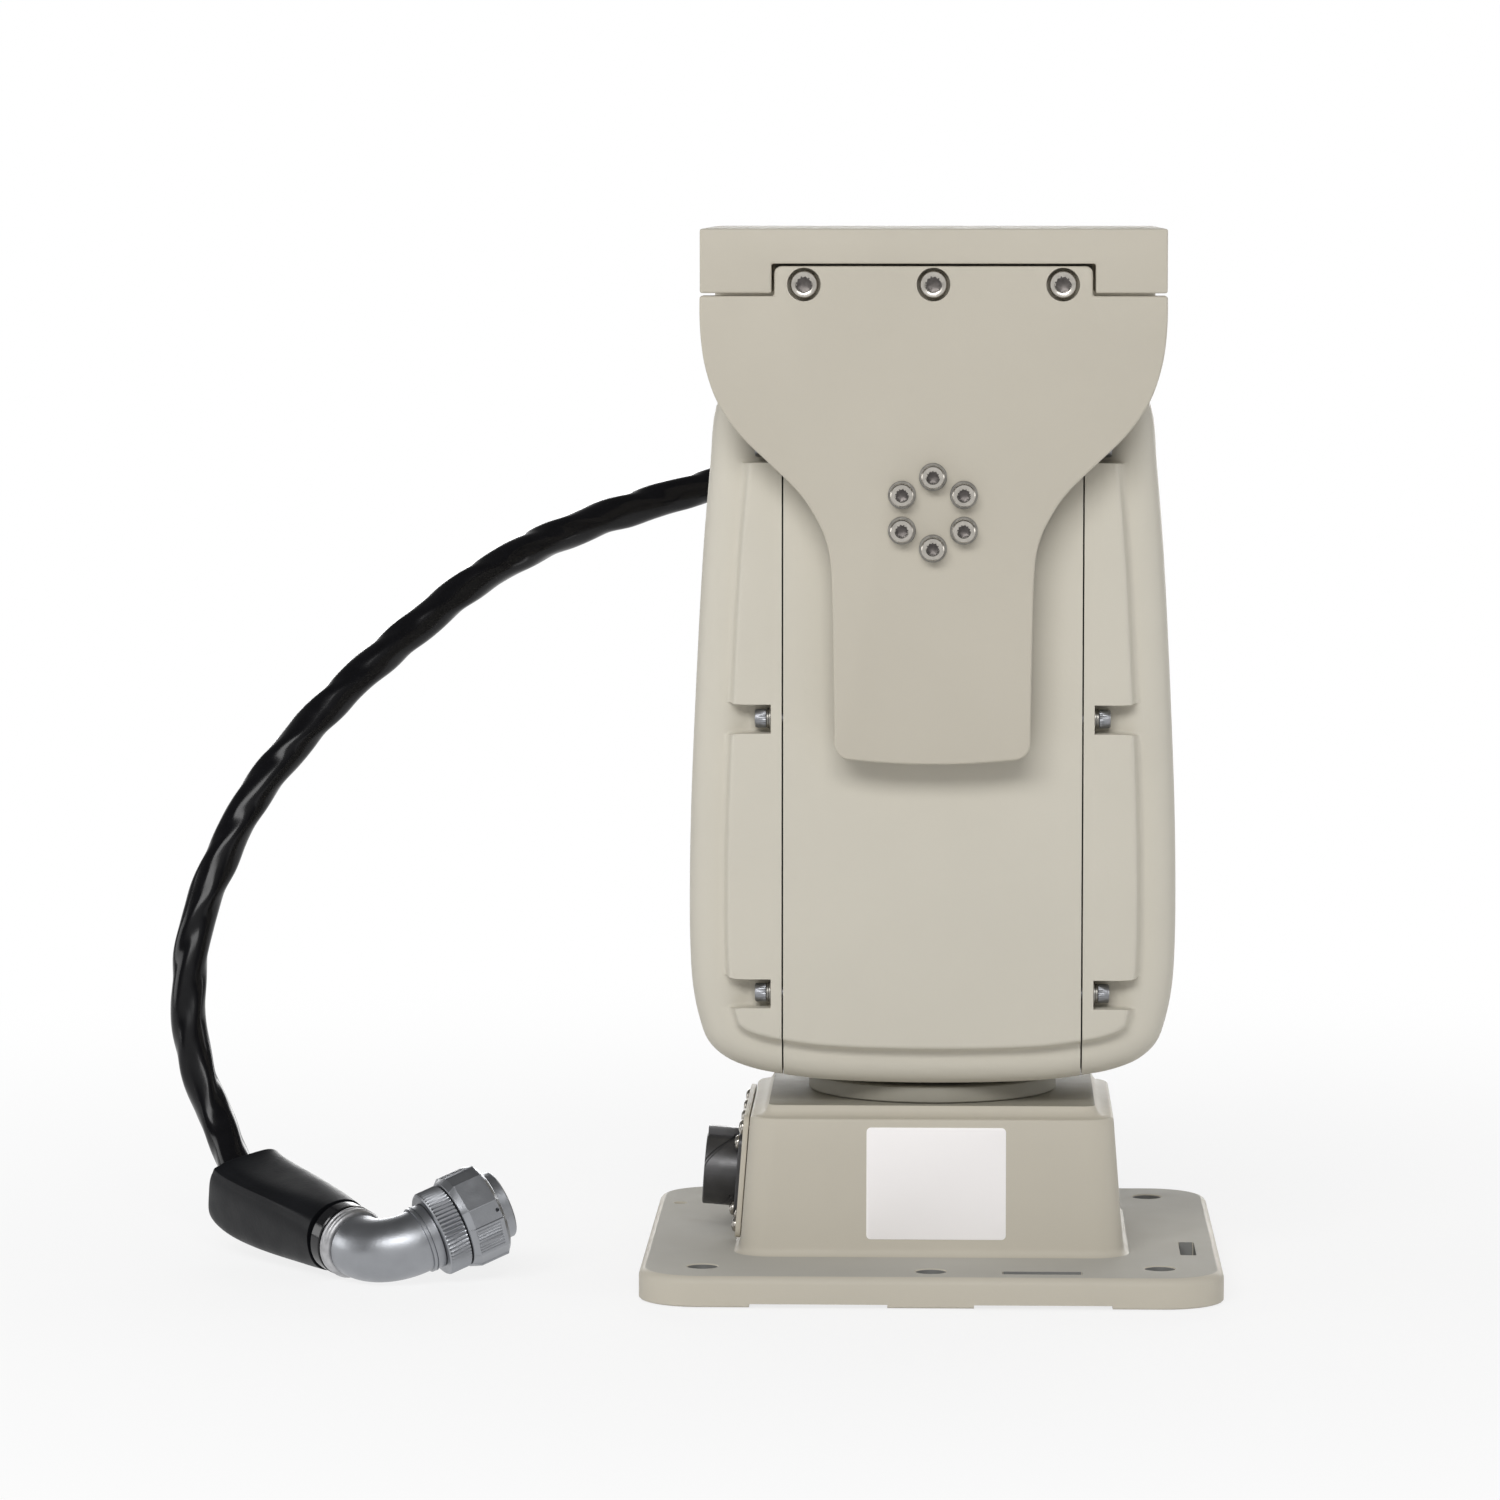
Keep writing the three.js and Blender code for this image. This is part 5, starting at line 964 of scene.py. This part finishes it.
print("small screws", len(panel_places + flange_places + bottom_places))

# %% [markdown]
# ## Turntable collar
# Between the deck and the body a round flange of the pan spindle shows. It is painted darker than the
# castings, as painted shade under the body, with a soft rim, and the spindle itself goes up through the
# bearing.

# %% Pan spindle with its painted flange
pan_spindle = spun("pan_spindle_flange", [
    (55.9, 11.5), (55.9, 23.7), (65.5, 23.7), (65.5, 45.6), (65.9, 46), (70.3, 46), (71.0, 45.7), (71.4, 45),
    (71.5, 44), (71.5, 24), (74.9, 24), (74.9, 20), (90.2, 20), (90.2, 15), (106, 15), (106, 11.5)],
    steps=128)
low_z, high_z = (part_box("pan_spindle")[i].z * 1000 for i in (0, 1))
print("CAD spindle from", round(low_z, 2), "to", round(high_z, 2), "mm")
# The collar takes the deck's darker enamel: painted shade under the body.
settle(pan_spindle, "base", painted_shade_deck, "paint", "pan_spindle", angle=30)

# %% Blank sticker on the pedestal's front wall
sticker_x, sticker_height, sticker_half_x, sticker_half_z = 1.7, 37.6, 25.4, 20.4
sticker = wrapped("blank_sticker", [rounded_rectangle(sticker_half_x - d, sticker_half_z - d, 1.6, z, 5)
                                    for d, z in ((0, 0), (0, 0.1), (0.1, 0.15))])
sticker_place = mm(sticker_x, -wall_at(foot_y, sticker_height) - 0.05, sticker_height)
sticker.data.transform(Matrix.Translation(sticker_place) @ Matrix.Rotation(pi / 2 - lean, 4, "X"))
settle(sticker, "base", sticker_paper, "label")

# %% [markdown]
# ## Cable gland
# In the middle of the rear arm a hexagonal gland clamps the cable on the tilt axis, so the cable only
# twists a little when the yoke tilts. A rubber seal shows between the nut's dome and the cable.

# %% Gland body and nut
def hexagonal(name, radius, low, high, bore, dome=()):
    chamfer, rim, origin, along = 0.7, radius * 0.90, tilt_centre, Vector(rearward)
    piece = spun(name, [(low, bore), (low, rim), (low + chamfer, radius), (high - chamfer, radius),
                        (high, rim), *dome, (dome[-1][0] if dome else high, bore)], origin, along)
    out = along.orthogonal().normalized()
    across = along.cross(out)
    flat, far, depth = radius * 0.89, radius * 3, high - low + (0.5 if dome else 1)
    for angle in round_angles(6):
        outward = out * cos(angle) + across * sin(angle)
        sideways = along.cross(outward)
        corners = [origin + (outward * u + sideways * v + along * (low - 0.5)) * 0.001
                   for u, v in ((flat, -far), (far, -far), (far, far), (flat, far))]
        cut_away(piece, extruded("flat", corners, along * depth * 0.001))
    return weld(piece)


gland_bore = 6.9
neck_profile = [(47, gland_bore), (47, 7.4), (87.1, 7.4), (87.1, gland_bore)]
gland_neck = spun("gland_neck", neck_profile, tilt_centre, rearward, 64)
settle(joined(hexagonal("gland_body", 12.4, 86.9, 92.9, gland_bore), gland_neck), "bracket", satin_nickel,
       "nickel", "cable_gland")
nut_dome = ((98.7, 10.6), (100.6, 10.3), (102.4, 9.7), (103.5, 9.0), (104.0, 8.3))
settle(hexagonal("gland_clamp_nut", 12, 93.2, 98.4, 7.7, nut_dome), "bracket", satin_nickel, "nickel",
       "gland_nut")
seal_profile = [(99, 7.15), (99, 7.65), (104.1, 7.65), (104.3, 7.5), (104.3, 7.15)]
settle(spun("gland_seal", seal_profile, tilt_centre, rearward, 64), "bracket", rubber, "rubber")

# %% [markdown]
# ## The elbow plug
# A moulded rubber boot tapers from a blunt square end, where the cable goes in, to a round one. One of
# its edges is a crisp crease. Behind it come a glossy black collar, a rough clamp ring, a cast elbow with
# a double collar, a knurled ring, and a coupling nut whose broad facets are smooth and grooved by turns.

# %% Ways in and out of the plug
boot_down = Vector((0.613, -0.773, -0.16)).normalized()
coupling_up = Vector((0.85, 0.39, 0.345)).normalized()
boot_face = Vector((0.795, 0.551, 0.257)).normalized()
lowest_radius, floor_gap, elbow_bend = 17, 0.6, 0.017
dip = lowest_radius * (1 - sqrt(1 - boot_down.z ** 2))
boot_exit = mm(-214, -47, 11.7 + floor_gap + dip - boot_down.z * (7 + floor_gap))
elbow_start = boot_exit + boot_down * 0.0056
half_bend = acos(boot_down.dot(coupling_up)) / 2
elbow_corner = elbow_start + boot_down * (0.002 + elbow_bend * tan(half_bend))
elbow_end = elbow_corner + coupling_up * elbow_bend * tan(half_bend)
print("elbow end", [round(v, 4) for v in elbow_end], "bend", round(2 * half_bend * 180 / pi), "degrees")

# %% Boot: half side along its length, how square it is, and a crease on one edge
boot_sections = curve_through([
    (0, 12.4, 0.62, 0), (0.008, 13.4, 0.56, 0), (0.03, 14.3, 0.52, 0.2), (0.09, 15, 0.48, 0.6),
    (0.35, 14.6, 0.47, 0.6), (0.62, 14.0, 0.52, 0.55), (0.84, 13.5, 0.72, 0.4), (0.93, 13.3, 0.88, 0.1)], 6)
boot_points, crease_point, crease_spread = 96, 84, 3
lead_in, lead_out = 0.010, 0.036


def squared(value, power):
    return abs(value) ** power * (1 if value > 0 else -1)


def boot_ring(at, way, half_side, power, crease):
    deep_way = (boot_face - way * way.dot(boot_face)).normalized()
    wide_way = way.cross(deep_way)
    ring = []
    for i, angle in enumerate(round_angles(boot_points)):
        point = wide_way * squared(cos(angle), power) + deep_way * squared(sin(angle), power)
        reach = half_side + crease * max(0, 1 - abs(i - crease_point) / crease_spread)
        ring.append(at + point * reach * 0.001)
    return ring


def along_boot(t):
    a, b, c, d = boot_entry, boot_entry + boot_in * lead_in, boot_exit - boot_down * lead_out, boot_exit
    at = (1 - t) ** 3 * a + 3 * t * (1 - t) ** 2 * b + 3 * t * t * (1 - t) * c + t ** 3 * d
    return at, (3 * (1 - t) ** 2 * (b - a) + 6 * t * (1 - t) * (c - b) + 3 * t * t * (d - c)).normalized()


plug_boot = wrapped("moulded_boot", [boot_ring(*along_boot(min(max(t, 0), 1)), half, power, crease)
                                     for t, half, power, crease in boot_sections])
lowest = min(v.co.z for v in plug_boot.data.vertices) * 1000
print("boot's lowest point", round(lowest, 2), "mm above the floor")
settle(plug_boot, "head", rubber, "rubber", "plug_boot", angle=40)
boot_collar = spun("boot_collar", [(-5.6, 8), (-5.6, 12.9), (-5.2, 13.25), (-0.5, 13.25), (-0.1, 12.9),
                                   (-0.1, 8)], boot_exit, boot_down)
settle(boot_collar, "head", glossy_black, "rubber")

# %% Clamp ring, rolled at its edges and rough between them
ribs = [(0.3, 9), (0.3, 12.3), (0.5, 12.8), (0.9, 13.1), (1.5, 13.15), (1.8, 12.8), (2.1, 12.75), (2.4, 13.1),
        (3.6, 13.2), (4.0, 12.9), (4.3, 12.9), (4.7, 12.75), (5.1, 12.4), (5.3, 11.9), (5.3, 9)]
clamp_ring = spun("rough_clamp_ring", ribs, boot_exit, boot_down)
settle(clamp_ring, "head", cast_nickel, "nickel", "plug_clamp_ring")

# %% Elbow: rings along its bend, then a double collar at its outer end
bend_way = (coupling_up - boot_down).normalized()
bend_centre = elbow_corner + bend_way * elbow_bend / cos(half_bend)
sideways = (boot_down + coupling_up).normalized()
bend_angles = [(i / 32 * 2 - 1) * half_bend for i in range(33)]
bend_line = [elbow_start + boot_down * 0.0004 * i for i in range(5)]
bend_line += [bend_centre + (sideways * sin(a) - bend_way * cos(a)) * elbow_bend for a in bend_angles]
collar_steps = (0.7, 1.2, 1.35, 2.2, 2.35, 2.7, 2.85, 3.1, 3.2, 6.0)
collar_line = [elbow_end + coupling_up * 0.001 * along for along in collar_steps]
elbow_radii = [10.9, 11.4] + [11.7] * 38 + [12.45, 12.45, 12.1, 12.1, 12.6, 12.6, 12.3, 12.3]
elbow_rings = []
for k, (p, way, side, up) in enumerate(frames_along(bend_line + collar_line, (0, 1, 0))):
    if k >= len(bend_line):
        side = (side - coupling_up * side.dot(coupling_up)).normalized()
        up = coupling_up.cross(side)
    elbow_rings.append(circle_round(p, side, up, elbow_radii[k], 72))
plug_elbow = wrapped("cast_elbow", elbow_rings)
settle(plug_elbow, "head", satin_nickel, "nickel", "plug_elbow", angle=30)

# %% Knurled back ring, in a frame that looks along the coupling
coupling_turn = facing(elbow_end, coupling_up)
knurl_teeth, points_a_tooth = 62, 4


def coupled(ring):
    return [coupling_turn @ p for p in ring]


def knurled_circle(radius, z, depth):
    return [polar(radius - depth * (0.5 - 0.5 * cos(2 * pi * i / points_a_tooth)), a, z)
            for i, a in enumerate(round_angles(knurl_teeth * points_a_tooth))]


back_ring = wrapped("knurled_back_ring", [coupled(knurled_circle(*row)) for row in (
    (12.9, 6.3, 0), (15.0, 6.3, 0), (15.6, 6.7, 0), (16, 7.3, 0.8), (16, 14.3, 0.8), (15.6, 14.9, 0),
    (14.8, 15.1, 0), (12.9, 15.1, 0))])
settle(back_ring, "head", satin_nickel, "nickel", "plug_back_ring", angle=25)

# %% Coupling nut: broad facets, smooth and grooved by turns, with narrow ones between them
sector_width, broad_width, groove_margin, groove_pitch, groove_depth = 60, 38, 2, 4.25, 0.42
broad_facet, narrow_facet = (19, 0.973), (49, 0.988)


def facet_ring(radius, z, grooves=False):
    points = []
    for i in range(360):
        sector, within = divmod(i, sector_width)
        broad = within < broad_width
        middle, reach = broad_facet if broad else narrow_facet
        r = radius * reach / cos(radians(within - middle))
        if grooves and broad and sector % 2 and groove_margin <= within <= broad_width - groove_margin:
            r -= groove_depth * (0.5 - 0.5 * cos(2 * pi * (within - groove_margin) / groove_pitch))
        points.append(polar(r, radians(i), z))
    return points


def round_ring(radius, z):
    return [polar(radius, a, z) for a in round_angles(360)]


nut_rows = [round_ring(11.9, 15.4), round_ring(16.1, 15.4), round_ring(16.5, 15.6), facet_ring(17.75, 17.7),
            facet_ring(17.9, 18.0, True), facet_ring(17.9, 27.4, True), facet_ring(17.9, 27.7),
            facet_ring(17.9, 29.1), round_ring(17.0, 30.1), round_ring(16.6, 30.4), round_ring(11.9, 30.4)]
coupling_nut = wrapped("faceted_coupling_nut", [coupled(row) for row in [*nut_rows, nut_rows[0]]], ends=False)
for turned in (49, 169, 289):
    outward = coupling_turn.to_3x3() @ Vector((cos(radians(turned)), sin(radians(turned)), 0))
    hole_centre = coupling_turn @ mm(0, 0, 28.1)
    cut_away(coupling_nut, bar("spanner_hole", 0.75, 14.5, 19, hole_centre, outward, 20))
settle(weld(coupling_nut), "coupling_nut", satin_nickel, "nickel", "plug_coupling_nut", angle=22)

# %% Barrel with its lip, bore and contact face
barrel = spun("plug_barrel_shell", [
    (15.4, 0), (15.4, 11.6), (30.8, 11.6), (30.8, 12.5), (31.1, 12.8), (34.7, 12.8), (35.1, 12.5),
    (35.1, 11.1), (34.7, 10.7), (26.8, 10.5), (26.8, 0)], elbow_end, coupling_up, 128)
settle(barrel, "head", satin_nickel, "nickel", "plug_barrel", angle=30)
plug_face = spun("plug_contact_face", [(26.7, 0), (26.7, 10.4), (29.0, 10.4), (29.5, 9.9), (29.5, 0)],
                 elbow_end, coupling_up)
settle(plug_face, "head", black_plastic, "plastic")
socket_profile = [(28.6, 0.6), (28.6, 1.05), (29.8, 1.05), (29.8, 0.6)]
plug_sockets = joined_as("plug_sockets", [
    spun("socket", socket_profile, coupling_turn @ mm(x, y, 0), coupling_up, 20)
    for x, y in in_rings((1, 0), (6, 4.0), (12, 7.6))])
settle(plug_sockets, "head", bronze, "bronze")

# %% [markdown]
# ## Works inside the head
# The worms, wheels, bearings, motors and boards are already right in the CAD, so they keep their meshes
# and only get the finish that each would have.

# %% Finishes for the works
inside = {
    bronze: ("pan_worm_wheel", "tilt_worm_wheel"),
    black_plastic: ("pan_motor", "tilt_motor", "slip_ring_body"),
    rubber: ("left_gasket", "right_gasket", "pan_seal", "front_shaft_seal", "rear_shaft_seal"),
    raw_aluminium: ("bottom_plate", "pan_gear_bracket", "tilt_gear_bracket", "slip_ring_bracket"),
    green_board: ("interface_board", "control_board"), satin_nickel: ("slip_ring_rotor",),
}
finish_of = {name: material for material, names in inside.items() for name in names}
works = {name: node for name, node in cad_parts.items() if not node.hide_render}
for name, node in works.items():
    node.data.materials.clear()
    node.data.materials.append(finish_of.get(name, ground_steel))
print("works with a finish", len(works))

# %% [markdown]
# ## The studio
# A pale floor runs out of view and a white sweep closes it, as in a product photograph. Large soft lamps
# stand in front, behind and at both sides, low enough that upright faces are brighter than level ones and
# the deck under the body falls into shade. The metal sees the white sweep before and behind it and dim
# walls at the sides, which gives screw heads bright faces and dark flanks.

# %% Floor
def maths(tree, operation, *values):
    node = add_node(tree, "Math")
    node.operation = operation
    for i, value in enumerate(values):
        tree.links.new(value, node.inputs[i])
    return node.outputs["Value"]


def mixed(tree, factor, first, second):
    node = add_node(tree, "MixShader")
    for i, value in enumerate((factor, first, second)):
        tree.links.new(value, node.inputs[i])
    return node.outputs["Shader"]


floor_size, floor_drop, fade_from, fade_to, least_glow = 8, 0.0004, 0.1, 0.9, 0.78
bpy.context.scene.view_settings.view_transform = "Standard"
bpy.ops.object.select_all(action="DESELECT")
bpy.ops.mesh.primitive_plane_add(size=floor_size, location=(0, 0, 0))
floor = bpy.context.object
floor.name = "floor"
with editing(floor):
    bpy.ops.transform.translate(value=(0, 0, -floor_drop))
floor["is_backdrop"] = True
white = bpy.data.materials.new("white_sweep")
white.use_nodes = True
tree = white.node_tree
matt = set_sockets(tree.nodes["Principled BSDF"], Base_Color=(0.9, 0.9, 0.9, 1), Roughness=0.9)
glow = add_node(tree, "Emission", Strength=1.0)
rays = add_node(tree, "LightPath").outputs
mirrored = maths(tree, "MAXIMUM", rays["Is Glossy Ray"], rays["Is Transmission Ray"])
seen = maths(tree, "MAXIMUM", rays["Is Camera Ray"], mirrored)
reach = add_node(tree, "VectorMath")
reach.operation = "LENGTH"
tree.links.new(add_node(tree, "TexCoord").outputs["Object"], reach.inputs[0])
fade = ranged(tree, reach.outputs["Value"], fade_from, fade_to, least_glow, 1.0, "SMOOTHSTEP")
lit = mixed(tree, maths(tree, "MULTIPLY", seen, fade), matt.outputs["BSDF"], glow.outputs["Emission"])
tree.links.new(lit, tree.nodes["Material Output"].inputs["Surface"])
floor.data.materials.append(white)
print("floor", floor.dimensions.x, "m wide")

# %% White sweep and dim room
side_ends, sweep_starts, dim_wall = 0.6, 0.95, 0.2
world = bpy.data.worlds.new("studio")
bpy.context.scene.world = world
world.use_nodes = True
tree = world.node_tree
around = set_sockets(tree.nodes["Background"], Color=(0.97, 0.98, 1.0, 1), Strength=0.27)
sweep = add_node(tree, "Background", Color=(1, 1, 1, 1), Strength=1.0)
room = add_node(tree, "Background")
split = add_node(tree, "SeparateXYZ")
tree.links.new(add_node(tree, "TexCoord").outputs["Generated"], split.inputs["Vector"])
depthwise = maths(tree, "ABSOLUTE", split.outputs["Y"])
mirrored_light = ranged(tree, depthwise, side_ends, sweep_starts, dim_wall, 1.0, "SMOOTHSTEP")
tree.links.new(mirrored_light, room.inputs["Strength"])
rays = add_node(tree, "LightPath").outputs
shown = around.outputs["Background"]
for ray, view in (("Is Glossy Ray", room), ("Is Transmission Ray", room), ("Is Camera Ray", sweep)):
    shown = mixed(tree, rays[ray], shown, view.outputs["Background"])
tree.links.new(shown, tree.nodes["World Output"].inputs["Surface"])

# %% Soft lamps
lamp_aim = Vector((0, 0, 0.2))


def soft_lamp(name, place, size, power):
    bpy.ops.object.select_all(action="DESELECT")
    bpy.ops.object.light_add(type="AREA", location=place)
    lamp = bpy.context.object
    lamp.name = name
    lamp.data.shape = "RECTANGLE"
    lamp.data.size, lamp.data.size_y = size
    lamp.data.energy = power
    lamp.rotation_euler = (lamp_aim - Vector(place)).to_track_quat("-Z", "Y").to_euler()
    print(name, power, "W")


soft_lamp("front_lamp", (-0.4, -2.45, 1.62), (2.2, 0.8), 47)
soft_lamp("left_lamp", (-2.3, 0.1, 0.5), (1.2, 0.8), 9)
soft_lamp("right_lamp", (2.3, 0.1, 0.5), (1.2, 0.8), 9)
soft_lamp("back_lamp", (0.2, 2.4, 0.6), (2.4, 0.8), 26)

# %% [markdown]
# ## Size
# The visual model's box is printed. The visual model has to stay in the CAD model's
# box.

# %% Print the visual box
low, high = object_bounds()
print("visual box", [round(v, 4) for v in low], [round(v, 4) for v in high])
